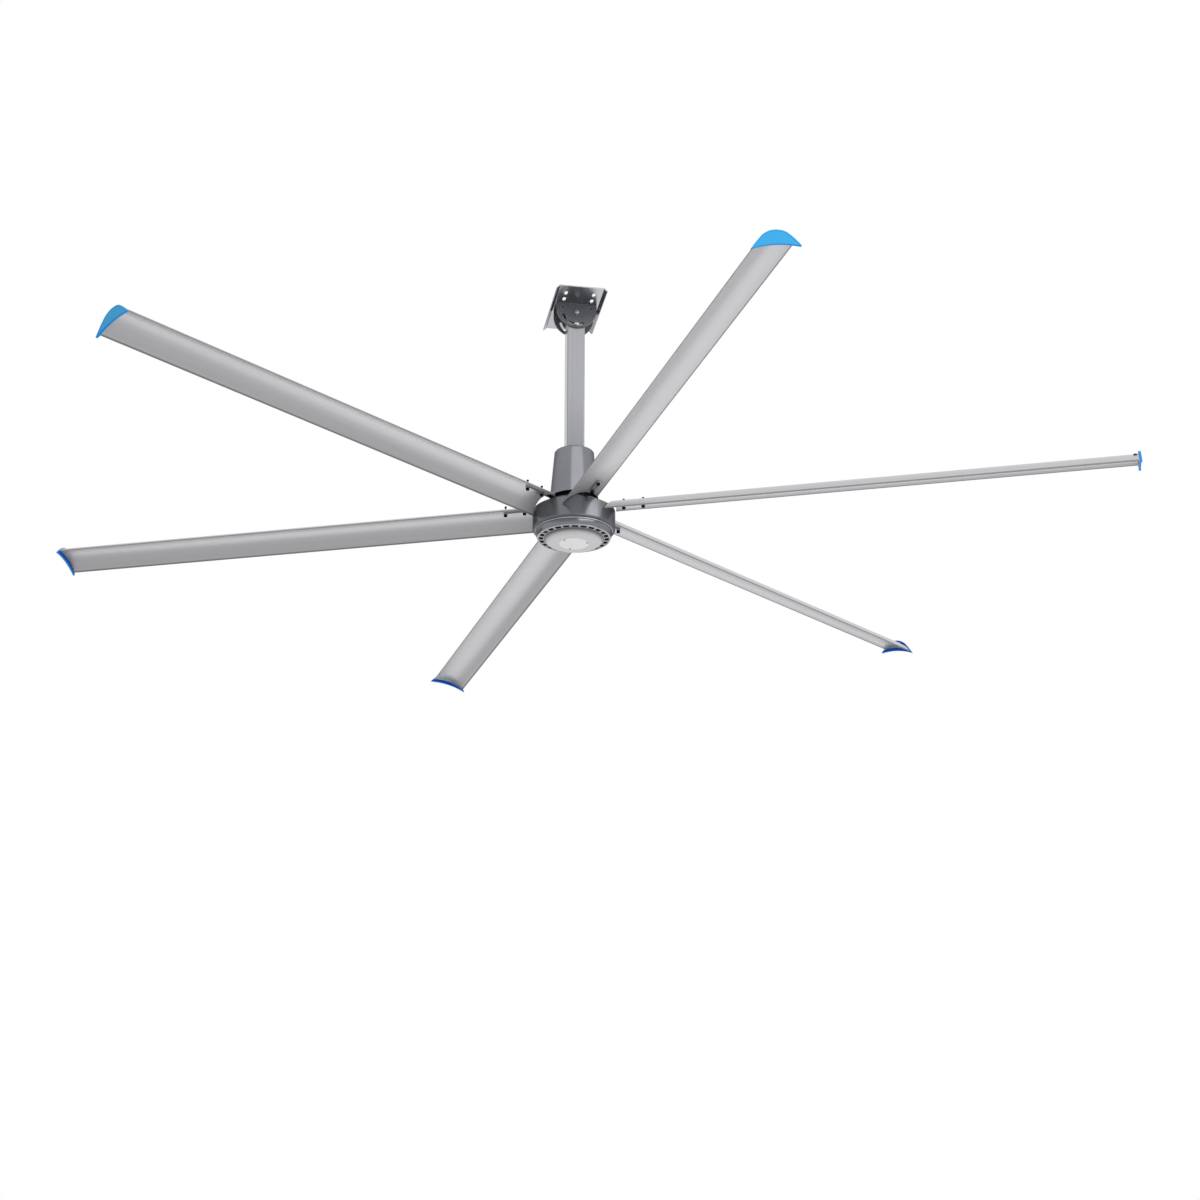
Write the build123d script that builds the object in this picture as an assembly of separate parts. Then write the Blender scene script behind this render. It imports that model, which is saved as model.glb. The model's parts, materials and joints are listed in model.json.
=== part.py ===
from build123d import *
import os
from math import cos, hypot, radians, sin, tan

# A six-blade, high-volume low-speed ceiling fan of 4.88 m sweep, in millimetres.
# Z is up, and the origin is the centre of the ceiling plate's upper face.
# X runs across the ceiling plate, and Y along it.
# The fan hangs on a square tube, which tilts about Y between two ears under the plate.
# The drum of the outer-rotor motor turns about Z with its six blades, anticlockwise from above.

# Ceiling plate: a flat web with a lip bent down along each long side
plate_width = 200.0
plate_length = 410.0
plate_thickness = 5.0
lip_run = 13.5
bend_radius = 6.0
ceiling_slot_width = 15.0
ceiling_slot_length = 31.0
ceiling_slot_x = 63.5
ceiling_slot_pitch = 55.6

# Ears: two upright plates welded under the web, one each side of the tube
pivot_drop = 50.0
ear_half_width = 92.0
ear_edge_below_slot = 15.2
ear_thickness = 8.0
ear_side_gap = 1.0
ear_top_hole_radius = 6.0
ear_top_hole_x = 63.5
ear_top_hole_drop = 24.0
slot_radius = 60.0
slot_width = 13.0
tilt_low = 27.0
tilt_high = 78.0

# Down tube: square, with its top end rounded about the pivot
tube_side = 80.0
tube_wall = 4.0
tube_corner = 5.0
tube_reach = 800.0

# Bolts through the ears and the tube
pin_radius = 6.0
pin_running_gap = 0.05
pin_hole_gap = 0.3
hex_across_flats = 19.0
bolt_head_height = 7.5
nut_height = 10.8
thread_past_nut = 4.0
washer_room = 2.8
face_gap = 0.3

# Flanges that join the tube and the motor's shaft
flange_radius = 75.0
flange_thickness = 10.0
flange_bolt_circle = 62.0
flange_bolt_radius = 6.0
flange_bolt_count = 4

# Neck cover: a tapered shroud round the shaft, carried by a collar on the tube
neck_height = 227.0
neck_top_radius = 88.5
neck_bottom_radius = 108.0
neck_shoulder = 7.0
neck_wall = 3.0
neck_above_level = 86.0
collar_radius = 62.0
collar_thickness = 8.0
hole_margin = 20.0

# Motor shaft, which stands still; heights from here on are above the blade level
shaft_neck = 176.0
shaft_radius = 25.0
shaft_shoulder = 32.0
shaft_lower_radius = 20.0
shaft_end_radius = 15.0
shaft_nut_across = 42.0
shaft_nut_height = 10.0
shaft_past_nut = 4.0
spider_thickness = 20.0

# Ball bearings
upper_bearing_outer = 45.0
upper_bearing_width = 20.0
upper_bearing_base = 0.0
lower_bearing_outer = 40.0
lower_bearing_width = 18.0
lower_bearing_base = -76.0
race_thickness = 5.5
cage_gap = 0.08
seat_gap = 0.05

# Stator and magnets
stator_radius = 163.5
stator_bore = 90.0
stator_yoke = 16.0
stator_top = 0.0
stator_height = 44.0
tooth_count = 12
tooth_width = 22.0
tooth_shoe = 6.0
shoe_width = 70.0
coil_width = 10.0
coil_gap = 0.3
air_gap = 1.5
magnet_count = 20
magnet_thickness = 5.0
magnet_angle = 14.0
magnet_height = 50.0

# Drum: the turning motor housing
drum_radius = 182.5
drum_rim_height = 24.6
drum_floor_height = -67.0
drum_floor_thickness = 9.0
drum_edge_start = -57.0
drum_edge_radius = 175.0
drum_edge_bulge = 2.2
drum_chamfer = 1.5
rim_wall = 4.0
lid_thickness = 10.0
lid_gap = 0.3
boss_wall = 15.0
hub_seat_inner = 70.0
hub_seat_outer = 130.0
hub_seat_height = 34.0
boss_past_bearing = 2.0

# Lower ring, vent ring and bottom cover
bead_radius = 173.0
bead_height = 7.0
bead_bevel = 1.5
groove_radius = 168.5
groove_height = 3.0
ring_top_radius = 171.5
ring_bottom_radius = 162.5
ring_bottom_height = -95.0
ring_wall = 4.5
ring_lip = 2.5
rim_drop = 4.5
rim_bevel = 1.5
vent_outer_radius = 156.5
vent_thickness = 3.0
vent_count = 24
vent_slot_width = 29.0
vent_slot_margin = 2.5
vent_bend = 1.0
cover_radius = 133.0
cover_rim_height = -104.0
cover_flat_radius = 104.0
cover_flat_height = -125.0
cover_wall = 2.7
cover_bulge = 3.6
disc_radius = 66.0
disc_thickness = 1.5
post_circle = 60.0
post_radius = 6.0
post_bite = 1.0
cover_screw_count = 3

# Hub plate and arms
hub_radius = 148.0
hub_bore = 52.0
hub_thickness = 11.4
arm_width = 29.0
arm_thickness = 6.8
arm_bevel_run = 5.7
arm_bevel_drop = 2.4
arm_start = 68.0
arm_past_bolt = 14.0
arm_centre = 10.5
hub_bolt_circle = 100.0
hub_bolt_radius = 5.0
hub_bolt_depth = 8.0
hub_bolt_across = 16.0
hub_bolt_head_height = 6.5

# Blades: hollow, strongly cambered extrusions; t runs along the chord, z is height
fan_radius = 2440.0
blade_count = 6
first_blade_angle = -22.6
root_gap = 4.5
blade_skin = 1.6
trailing_edge_top = (-102.0, -12.0)
top_flank = (-60.0, 33.6)
top_crown = (-3.0, 58.0)
leading_edge_top = (55.0, 36.4)
leading_edge_bottom = (54.2, 33.8)
under_crown = (7.0, 43.5)
under_flank = (-50.0, 28.8)
trailing_edge_bottom = (-100.4, -14.2)
web_thickness = 2.0
web_gap = 1.5
cavity_start = -86.0
cavity_end = 46.0

# Blade bolts: two for each blade, up through a bar, the blade and its arm
bolt_inner_radius = 221.5
bolt_outer_radius = 309.0
bolt_line = 15.4
bolt_shank_radius = 3.4
bolt_hole_gap = 0.2
bolt_head_across = 15.0
bolt_head_height_under_bar = 8.4
cap_nut_low = 69.5
cap_nut_across = 10.0
cap_nut_height = 6.0
bar_width = 18.0
bar_thickness = 8.0
bar_top_height = 42.2

# Winglets and the plates behind them
winglet_thickness = 9.5
winglet_tail = (-111.0, -22.0)
winglet_tail_low = (-109.8, -23.6)
winglet_flank = (-93.5, 5.2)
winglet_shoulder = (-75.0, 31.0)
winglet_knee = (-42.0, 58.5)
winglet_crown = (5.7, 67.5)
winglet_brow = (30.0, 59.0)
winglet_nose = (76.0, 20.4)
winglet_nose_low = (75.0, 18.8)
winglet_belly = (-30.0, 7.2)
winglet_rim = 3.5
winglet_recess = 0.8
tip_plate_thickness = 3.0
tip_plate_tail = (-103.0, -18.5)
tip_plate_shoulder = (-72.0, 26.0)
tip_plate_crown = (-8.0, 60.0)
tip_plate_nose = (60.0, 30.5)
tip_plate_belly = (-30.0, 22.0)
plug_start = -32.0
plug_end = -9.0
plug_depth = 40.0
plug_gap = 0.3

# Levels that follow from the sizes above
pivot_level = -pivot_drop
web_underside = -plate_thickness
tube_bottom = pivot_level - tube_reach
blade_level = tube_bottom - 2 * flange_thickness - shaft_neck
neck_bottom = blade_level + neck_above_level
neck_top = neck_bottom + neck_height
blade_end = fan_radius - winglet_thickness - tip_plate_thickness
blade_angles = [first_blade_angle + i * 360 / blade_count for i in range(blade_count)]
drum_bore = stator_radius + air_gap + magnet_thickness + seat_gap
lid_underside = drum_rim_height - lid_thickness
arm_low_height = hub_seat_height + hub_thickness
cut = 400.0
cut_past = 1.0


# General helpers

def ring(*outline):
    """A solid turned about Z from a closed outline of radii and heights."""
    return revolve(Plane.XZ * make_face(Polyline(*outline, close=True)), Axis.Z)


def tube_solid(outer, inner, low, high):
    """A plain ring between two heights."""
    return ring((inner, low), (outer, low), (outer, high), (inner, high))


def rod(radius, low, high):
    """A round bar on the Z axis between two heights."""
    return Pos(0, 0, low) * Cylinder(radius, high - low, align=(Align.CENTER, Align.CENTER, Align.MIN))


def hexagon(across_flats, low, high):
    """A hexagonal head or nut on the Z axis between two heights."""
    outline = RegularPolygon(across_flats / 2, 6, major_radius=False)
    return extrude(Pos(0, 0, low) * outline, high - low)


def around(count, piece, start=0.0):
    """Copies of a piece at equal angles about Z."""
    return [Rot(0, 0, start + i * 360 / count) * piece for i in range(count)]


def subtract(body, tools):
    for tool in tools:
        body = body - tool
    return body


def group(pieces):
    return Compound(children=[solid for piece in pieces for solid in piece.solids()])


def along_y(piece, x, z):
    """A piece made on the Z axis, laid along Y at a place in the XZ plane."""
    return Pos(x, 0, z) * Rot(-90, 0, 0) * piece


# Ceiling bracket

def ceiling_slot_rows():
    """The rows of ceiling slots, at both ends of the plate and clear of the ears."""
    inner_row = 1.5 * ceiling_slot_pitch
    outer_row = 2.5 * ceiling_slot_pitch
    return [-outer_row, -inner_row, inner_row, outer_row]


def ceiling_plate():
    half = plate_width / 2
    miter = plate_thickness * tan(radians(22.5))
    slant = plate_thickness * sin(radians(45))
    outer = half + miter
    tip = half + lip_run
    section = Polyline(
        (-outer, 0), (outer, 0),
        (tip + slant, slant - plate_thickness - lip_run), (tip, -plate_thickness - lip_run),
        (half, -plate_thickness), (-half, -plate_thickness),
        (-tip, -plate_thickness - lip_run), (-tip - slant, slant - plate_thickness - lip_run),
        close=True,
    )
    profile = make_face(section)
    bends = [v for v in profile.vertices() if abs(v.Y) < 0.01]
    profile = fillet(bends, bend_radius)
    plate = extrude(Plane.XZ * profile, plate_length / 2, both=True)
    outline = Rot(0, 0, 90) * SlotOverall(ceiling_slot_length, ceiling_slot_width)
    slot = extrude(outline, hole_margin, both=True)
    slots = [Pos(x, y, 0) * slot for x in (-ceiling_slot_x, ceiling_slot_x) for y in ceiling_slot_rows()]
    return subtract(plate, slots)


def slot_point(angle, radius):
    """A point at an angle from straight down, positive towards -X, about the pivot."""
    a = radians(angle)
    return (-radius * sin(a), pivot_level - radius * cos(a))


def ear_slot():
    """The arc slot that the clamp bolt slides in, as a flat shape."""
    outer = slot_radius + slot_width / 2
    inner = slot_radius - slot_width / 2
    middle = (tilt_high - tilt_low) / 2
    outer_arc = ThreePointArc(
        slot_point(-tilt_low, outer), slot_point(middle, outer), slot_point(tilt_high, outer))
    inner_arc = ThreePointArc(
        slot_point(tilt_high, inner), slot_point(middle, inner), slot_point(-tilt_low, inner))
    high_end = Line(slot_point(tilt_high, outer), slot_point(tilt_high, inner))
    low_end = Line(slot_point(-tilt_low, inner), slot_point(-tilt_low, outer))
    band = make_face([outer_arc, high_end, inner_arc, low_end])
    ends = [Pos(*slot_point(a, slot_radius)) * Circle(slot_width / 2) for a in (-tilt_low, tilt_high)]
    return band + ends[0] + ends[1]


def ear(side):
    """One ear, at the -Y or +Y face of the tube."""
    bottom = pivot_level - slot_radius - ear_edge_below_slot
    round_centre = bottom + ear_half_width
    straight = Line((-ear_half_width, round_centre), (-ear_half_width, web_underside))
    top = Line((-ear_half_width, web_underside), (ear_half_width, web_underside))
    down = Line((ear_half_width, web_underside), (ear_half_width, round_centre))
    bowl = ThreePointArc((ear_half_width, round_centre), (0, bottom), (-ear_half_width, round_centre))
    face = make_face([straight, top, down, bowl])
    face = face - ear_slot()
    face = face - Pos(0, pivot_level) * Circle(pin_radius + pin_running_gap)
    for x in (-ear_top_hole_x, ear_top_hole_x):
        face = face - Pos(x, -ear_top_hole_drop) * Circle(ear_top_hole_radius)
    inner_y = tube_side / 2 + ear_side_gap
    start = side * (inner_y + ear_thickness / 2)
    return extrude(Plane.XZ.offset(-start) * face, ear_thickness / 2, both=True)


# Tube and its bolts

def down_tube():
    half = tube_side / 2
    outer = RectangleRounded(tube_side, tube_side, tube_corner)
    inner = RectangleRounded(tube_side - 2 * tube_wall, tube_side - 2 * tube_wall, tube_corner - tube_wall)
    body = Pos(0, 0, tube_bottom) * extrude(outer - inner, tube_reach + half)
    head_box = Pos(0, 0, pivot_level + half) * Box(2 * tube_side, 2 * tube_side, tube_side)
    head_round = along_y(Cylinder(half, 2 * tube_side), 0, pivot_level)
    head_cut = head_box - head_round
    body = body - head_cut
    for z in (pivot_level, pivot_level - slot_radius):
        body = body - along_y(Cylinder(pin_radius + pin_hole_gap, 2 * tube_side), 0, z)
    return body


outer_face = tube_side / 2 + ear_side_gap + ear_thickness
washer_face = outer_face + washer_room


def bracket_bolt(level):
    shank = rod(pin_radius, -washer_face, washer_face + nut_height + thread_past_nut)
    head = hexagon(hex_across_flats, -washer_face - bolt_head_height, -washer_face)
    return along_y(shank + head, 0, level)


def bracket_nut(level):
    nut = hexagon(hex_across_flats, washer_face, washer_face + nut_height)
    return along_y(nut - rod(pin_radius + seat_gap, -cut, cut), 0, level)


# Neck

def neck_cover():
    """A turned shell, open below, whose flat top has a square hole for the tube."""
    slope = (neck_bottom_radius - neck_top_radius) / neck_height
    top_inside = neck_top - neck_wall
    shoulder_low = neck_top - neck_shoulder
    shoulder_radius = neck_top_radius + slope * neck_shoulder
    flat_radius = neck_top_radius - neck_shoulder
    reach = neck_shoulder * sin(radians(45))
    outline = [
        Line((0, top_inside), (0, neck_top)),
        Line((0, neck_top), (flat_radius, neck_top)),
        ThreePointArc((flat_radius, neck_top), (flat_radius + reach, shoulder_low + reach),
                      (shoulder_radius, shoulder_low)),
        Line((shoulder_radius, shoulder_low), (neck_bottom_radius, neck_bottom)),
        Line((neck_bottom_radius, neck_bottom), (neck_bottom_radius - neck_wall, neck_bottom)),
        Line((neck_bottom_radius - neck_wall, neck_bottom), (shoulder_radius - neck_wall, shoulder_low)),
        Line((shoulder_radius - neck_wall, shoulder_low), (flat_radius + neck_wall, top_inside)),
        Line((flat_radius + neck_wall, top_inside), (0, top_inside)),
    ]
    shell = revolve(Plane.XZ * make_face(outline), Axis.Z)
    opening = tube_side + 2 * face_gap
    hole = extrude(RectangleRounded(opening, opening, tube_corner), hole_margin, both=True)
    return shell - Pos(0, 0, neck_top) * hole


def neck_collar():
    top = neck_top - neck_wall
    opening = tube_side + 2 * seat_gap
    plate = rod(collar_radius, top - collar_thickness, top)
    hole = extrude(RectangleRounded(opening, opening, tube_corner), hole_margin, both=True)
    return plate - Pos(0, 0, top) * hole


def flange(low, high):
    plate = rod(flange_radius, low, high)
    hole = rod(flange_bolt_radius + pin_hole_gap, low - cut_past, high + cut_past)
    hole = Pos(flange_bolt_circle, 0, 0) * hole
    return subtract(plate, around(flange_bolt_count, hole))


def tube_flange():
    plate = flange(tube_bottom - flange_thickness, tube_bottom)
    return plate - rod(shaft_radius, tube_bottom - hole_margin, tube_bottom + hole_margin)


def flange_bolts():
    joint = tube_bottom - 2 * flange_thickness
    head = hexagon(hex_across_flats, tube_bottom, tube_bottom + bolt_head_height)
    nut = hexagon(hex_across_flats, joint - nut_height, joint)
    shank = rod(flange_bolt_radius, joint - nut_height - thread_past_nut, tube_bottom)
    return group(around(flange_bolt_count, Pos(flange_bolt_circle, 0, 0) * (head + nut + shank)))


# Motor shaft, bearings and stator

def at_level(height):
    return blade_level + height


def motor_shaft():
    """The shaft, with its top flange and the spider disc that carries the stator."""
    joint = tube_bottom - flange_thickness
    upper_low = at_level(upper_bearing_base)
    lower_top = at_level(lower_bearing_base + lower_bearing_width)
    lower_low = at_level(lower_bearing_base)
    end = lower_low - shaft_nut_height - shaft_past_nut
    spider_middle = at_level(stator_top - stator_height / 2)
    spider_top = spider_middle + spider_thickness / 2
    spider_low = spider_middle - spider_thickness / 2
    spider_edge = stator_bore - seat_gap
    body = ring(
        (0, end), (shaft_end_radius, end), (shaft_end_radius, lower_low),
        (shaft_lower_radius, lower_low), (shaft_lower_radius, lower_top),
        (shaft_shoulder, lower_top), (shaft_shoulder, spider_low),
        (spider_edge, spider_low), (spider_edge, spider_top),
        (shaft_shoulder, spider_top), (shaft_shoulder, upper_low),
        (shaft_radius, upper_low), (shaft_radius, joint), (0, joint),
    )
    return body + flange(joint - flange_thickness, joint)


def shaft_nut():
    top = at_level(lower_bearing_base)
    nut = hexagon(shaft_nut_across, top - shaft_nut_height, top)
    return nut - rod(shaft_end_radius + seat_gap, top - hole_margin, top + hole_margin)


def bearing_sizes(upper):
    """Bore radius, outer radius, base height and width of a bearing."""
    if upper:
        return shaft_radius, upper_bearing_outer, upper_bearing_base, upper_bearing_width
    return shaft_lower_radius, lower_bearing_outer, lower_bearing_base, lower_bearing_width


def inner_race(upper):
    bore, outer, base, width = bearing_sizes(upper)
    return tube_solid(bore + race_thickness, bore + seat_gap, at_level(base), at_level(base + width))


def outer_race(upper):
    bore, outer, base, width = bearing_sizes(upper)
    return tube_solid(outer - seat_gap, outer - race_thickness, at_level(base), at_level(base + width))


def bearing_cages():
    """Plain rings in the space of the balls and their cages, one for each bearing."""
    cages = []
    for upper in (True, False):
        bore, outer, base, width = bearing_sizes(upper)
        inside = bore + race_thickness + cage_gap
        cages.append(tube_solid(outer - race_thickness, inside, at_level(base), at_level(base + width)))
    return group(cages)


def shoe_face():
    """Distance from the axis to the flat outer face of a tooth's shoe."""
    return (stator_radius ** 2 - (shoe_width / 2) ** 2) ** 0.5


def stator_core():
    """A stack of laminations: a yoke, and teeth that point outwards and end in wide shoes."""
    yoke = Circle(stator_bore + stator_yoke) - Circle(stator_bore)
    start = stator_bore + stator_yoke / 2
    neck = shoe_face() - tooth_shoe
    half = tooth_width / 2
    wide = shoe_width / 2
    tooth = make_face(Polyline(
        (start, -half), (neck, -half), (neck, -wide), (shoe_face(), -wide),
        (shoe_face(), wide), (neck, wide), (neck, half), (start, half), close=True,
    ))
    section = yoke + around(tooth_count, tooth)
    return Pos(0, 0, at_level(stator_top - stator_height)) * extrude(section, stator_height)


def stator_windings():
    """One coil round each tooth."""
    inner = stator_bore + stator_yoke + coil_gap
    outer = shoe_face() - tooth_shoe - coil_gap
    hole_width = tooth_width + 2 * coil_gap
    hole_height = stator_height + 2 * coil_gap
    frame = Rectangle(hole_width + 2 * coil_width, hole_height + 2 * coil_width)
    frame = frame - Rectangle(hole_width, hole_height)
    middle = at_level(stator_top - stator_height / 2)
    coil = Pos(inner, 0, middle) * extrude(Plane.YZ * frame, outer - inner)
    return group(around(tooth_count, coil))


def magnets():
    outer = drum_bore - seat_gap
    inner = outer - magnet_thickness
    half = magnet_angle / 2
    points = [(r * cos(radians(a)), r * sin(radians(a))) for r in (outer, inner) for a in (-half, half)]
    outer_low, outer_high, inner_low, inner_high = points
    outline = [
        ThreePointArc(outer_low, (outer, 0), outer_high),
        Line(outer_high, inner_high),
        ThreePointArc(inner_high, (inner, 0), inner_low),
        Line(inner_low, outer_low),
    ]
    low = at_level(stator_top - stator_height / 2 - magnet_height / 2)
    magnet = Pos(0, 0, low) * extrude(make_face(outline), magnet_height)
    return group(around(magnet_count, magnet))


# Drum

def cover_post_places():
    return [first_blade_angle + i * 360 / cover_screw_count for i in range(cover_screw_count)]


def drum_shell():
    """The cup: wall, rounded lower edge, floor, bearing boss and the posts for the bottom cover."""
    rim = at_level(drum_rim_height)
    shelf = at_level(lid_underside)
    low = at_level(drum_floor_height)
    floor = low + drum_floor_thickness
    edge = at_level(drum_edge_start)
    boss_inner = lower_bearing_outer + seat_gap
    boss_outer = lower_bearing_outer + boss_wall
    boss_low = at_level(lower_bearing_base) - boss_past_bearing
    edge_middle = (
        (drum_radius + drum_edge_radius) / 2 + drum_edge_bulge, (edge + low) / 2 - drum_edge_bulge / 2)
    shell = ring(
        (drum_radius - rim_wall, rim), (drum_radius - drum_chamfer, rim), (drum_radius, rim - drum_chamfer),
        (drum_radius, edge), edge_middle, (drum_edge_radius, low),
        (boss_outer, low), (boss_outer, boss_low), (boss_inner, boss_low), (boss_inner, floor),
        (drum_bore, floor), (drum_bore, shelf), (drum_radius - rim_wall, shelf),
    )
    post_end = at_level(cover_flat_height) + cover_wall
    post = Pos(post_circle, 0, 0) * rod(post_radius, post_end, low + post_bite)
    for angle in cover_post_places():
        shell = shell + Rot(0, 0, angle) * post
    return shell


def drum_lid():
    """The lid that closes the drum's top, with the bearing's boss and the raised seat of the hub plate."""
    top = at_level(drum_rim_height)
    underside = at_level(lid_underside)
    seat = at_level(hub_seat_height)
    bore = upper_bearing_outer + seat_gap
    boss_low = at_level(upper_bearing_base) - boss_past_bearing
    edge = drum_radius - rim_wall - lid_gap
    lid = ring(
        (bore, boss_low), (upper_bearing_outer + boss_wall, boss_low),
        (upper_bearing_outer + boss_wall, underside), (edge, underside), (edge, top),
        (hub_seat_outer, top), (hub_seat_outer, seat), (hub_seat_inner, seat),
        (hub_seat_inner, top), (bore, top),
    )
    return subtract(lid, hub_bolt_holes(seat - hub_bolt_depth))


def lower_ring():
    """The tapered ring under the drum: a bead and a groove at its top, a rim and a ledge at its foot."""
    top = at_level(drum_floor_height)
    bead_low = top - bead_height
    taper_top = bead_low - groove_height
    low = at_level(ring_bottom_height)
    rim_low = low - rim_drop
    ledge = low + vent_thickness
    lip = ring_bottom_radius - ring_lip
    inner_top = groove_radius - ring_wall
    return ring(
        (inner_top, top), (bead_radius - bead_bevel, top), (bead_radius, top - bead_bevel),
        (bead_radius, bead_low + bead_bevel), (bead_radius - bead_bevel, bead_low),
        (groove_radius, bead_low), (groove_radius, taper_top), (ring_top_radius, taper_top),
        (ring_bottom_radius, low), (ring_bottom_radius - rim_bevel, rim_low),
        (vent_outer_radius + rim_bevel, rim_low), (vent_outer_radius, rim_low + rim_bevel),
        (vent_outer_radius, ledge), (lip, ledge), (lip, ledge + vent_thickness), (inner_top, taper_top),
    )


def vent_ring():
    """A sloped annulus with a flange at each edge and a circle of radial slots."""
    low = at_level(ring_bottom_height)
    ledge = low + vent_thickness
    top = ledge + vent_thickness
    outer = vent_outer_radius - seat_gap
    flange_edge = ring_bottom_radius - ring_lip - face_gap
    lap = at_level(cover_rim_height) + vent_thickness
    lap_edge = cover_radius - 4 * vent_thickness
    body = ring(
        (flange_edge, top), (flange_edge, ledge), (outer, ledge), (outer, low),
        (cover_radius, lap - vent_thickness), (cover_radius, lap), (lap_edge, lap),
        (lap_edge, lap + vent_thickness), (cover_radius + vent_bend, lap + vent_thickness),
        (outer - vent_bend, top),
    )
    start = cover_radius + vent_slot_margin
    end = vent_outer_radius - vent_slot_margin
    slot = Pos((start + end) / 2, 0, low) * Box(end - start, vent_slot_width, 10 * vent_thickness)
    return subtract(body, around(vent_count, slot, first_blade_angle))


def bottom_cover():
    """A shallow dome with a flat middle, held up against the posts of the drum."""
    rim = at_level(cover_rim_height)
    lap = rim + vent_thickness
    flat = at_level(cover_flat_height)
    inner_flat = flat + cover_wall
    outer = cover_radius - seat_gap
    run = outer - cover_flat_radius
    rise = rim - flat
    slant = hypot(run, rise)
    bulge = (
        (outer + cover_flat_radius) / 2 + cover_bulge * rise / slant,
        (rim + flat) / 2 - cover_bulge * run / slant,
    )
    inner_rim = outer - cover_wall
    outline = [
        Line((0, inner_flat), (0, flat)),
        Line((0, flat), (cover_flat_radius, flat)),
        ThreePointArc((cover_flat_radius, flat), bulge, (outer, rim)),
        Line((outer, rim), (outer, lap)),
        Line((outer, lap), (inner_rim - cover_wall, lap)),
        Line((inner_rim - cover_wall, lap), (cover_flat_radius, inner_flat)),
        Line((cover_flat_radius, inner_flat), (0, inner_flat)),
    ]
    return revolve(Plane.XZ * make_face(outline), Axis.Z)


def centre_disc():
    top = at_level(cover_flat_height)
    return rod(disc_radius, top - disc_thickness, top)


# Hub plate and arms

def hub_bolt_holes(low):
    """Holes for the hub bolts, each midway between two arms, from a height upwards."""
    hole = Pos(hub_bolt_circle, 0, 0) * rod(hub_bolt_radius + seat_gap, low, at_level(cut))
    return around(blade_count, hole, first_blade_angle + 180 / blade_count)


def hub_plate():
    """The disc that carries the arms, bolted to the raised seat of the lid."""
    low = at_level(hub_seat_height)
    disc = tube_solid(hub_radius, hub_bore, low, low + hub_thickness)
    return subtract(disc, hub_bolt_holes(low - cut_past))


def arm():
    """The flat arm that reaches into the root of the blade along +X, welded to the hub plate."""
    low = at_level(arm_low_height)
    top = low + arm_thickness
    rear = arm_centre - arm_width / 2
    front = arm_centre + arm_width / 2
    section = make_face(Polyline(
        (rear, low), (front, low), (front, top - arm_bevel_drop), (front - arm_bevel_run, top),
        (rear, top), close=True,
    ))
    length = bolt_outer_radius + arm_past_bolt - arm_start
    bar = Pos(arm_start, 0, 0) * extrude(Plane.YZ * section, length)
    return subtract(bar, blade_bolt_holes())


def hub_bolts():
    seat = at_level(arm_low_height)
    head = hexagon(hub_bolt_across, seat, seat + hub_bolt_head_height)
    shank = rod(hub_bolt_radius, at_level(hub_seat_height) - hub_bolt_depth, seat)
    bolt = Pos(hub_bolt_circle, 0, 0) * (head + shank)
    return group(around(blade_count, bolt, first_blade_angle + 180 / blade_count))


# Blades

def blade_section():
    """The outer outline of a blade, in t and z: two smooth arcs above and two below."""
    rise = ThreePointArc(trailing_edge_top, top_flank, top_crown)
    fall = TangentArc(top_crown, leading_edge_top, tangent=rise % 1)
    nose = Line(leading_edge_top, leading_edge_bottom)
    under_back = ThreePointArc(trailing_edge_bottom, under_flank, under_crown)
    under_front = TangentArc(under_crown, leading_edge_bottom, tangent=under_back % 1)
    tail = Line(trailing_edge_bottom, trailing_edge_top)
    return make_face([rise, fall, nose, under_front, under_back, tail])


def blade_cavities(gap=0.0):
    """The three hollows of the extrusion, parted by two webs beside the arm."""
    inside = offset(blade_section(), -blade_skin - gap)
    rear_web = arm_centre - arm_width / 2 - web_gap
    front_web = arm_centre + arm_width / 2 + web_gap
    spans = [
        (cavity_start, rear_web - web_thickness),
        (rear_web, front_web),
        (front_web + web_thickness, cavity_end),
    ]
    strips = [Pos((a + b) / 2, 0) * Rectangle(b - a - 2 * gap, cut) for a, b in spans]
    return [inside & strip for strip in strips]


def blade_bolt_places():
    return [(bolt_inner_radius, bolt_line), (bolt_outer_radius, bolt_line)]


def blade_bolt_holes():
    """Clearance holes for the two bolts of the blade along +X."""
    hole = rod(bolt_shank_radius + bolt_hole_gap, blade_level, at_level(cut))
    return [Pos(x, y, 0) * hole for x, y in blade_bolt_places()]


def blade():
    """The blade along +X, its root cut to clear the drum all round."""
    section = subtract(blade_section(), blade_cavities())
    root = drum_radius + root_gap
    start = (root ** 2 - trailing_edge_top[0] ** 2) ** 0.5 - root_gap
    body = extrude(Plane.YZ.offset(start) * section, blade_end - start)
    body = Pos(0, 0, blade_level) * body
    body = body - rod(root, at_level(-cut), at_level(cut))
    return subtract(body, blade_bolt_holes())


def clamp_bars():
    """The bars between the heads of each blade's two bolts and its underside."""
    span = bolt_outer_radius - bolt_inner_radius
    shape = Pos(bolt_inner_radius + span / 2, bolt_line) * SlotCenterToCenter(span, bar_width)
    low = at_level(bar_top_height) - bar_thickness
    bar = Pos(0, 0, low) * extrude(shape, bar_thickness)
    bar = subtract(bar, blade_bolt_holes())
    return group(around(blade_count, bar, first_blade_angle))


def at_blade_bolts(piece):
    """Copies of a piece at both bolts of every blade."""
    pair = group([Pos(x, y, 0) * piece for x, y in blade_bolt_places()])
    return group(around(blade_count, pair, first_blade_angle))


def blade_bolts():
    seat = at_level(bar_top_height) - bar_thickness
    head = hexagon(bolt_head_across, seat - bolt_head_height_under_bar, seat)
    return at_blade_bolts(head + rod(bolt_shank_radius, seat, at_level(cap_nut_low)))


def blade_nuts():
    """A small cap nut on the end of each blade bolt."""
    low = at_level(cap_nut_low)
    return at_blade_bolts(hexagon(cap_nut_across, low, low + cap_nut_height))


# Blade ends

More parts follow.
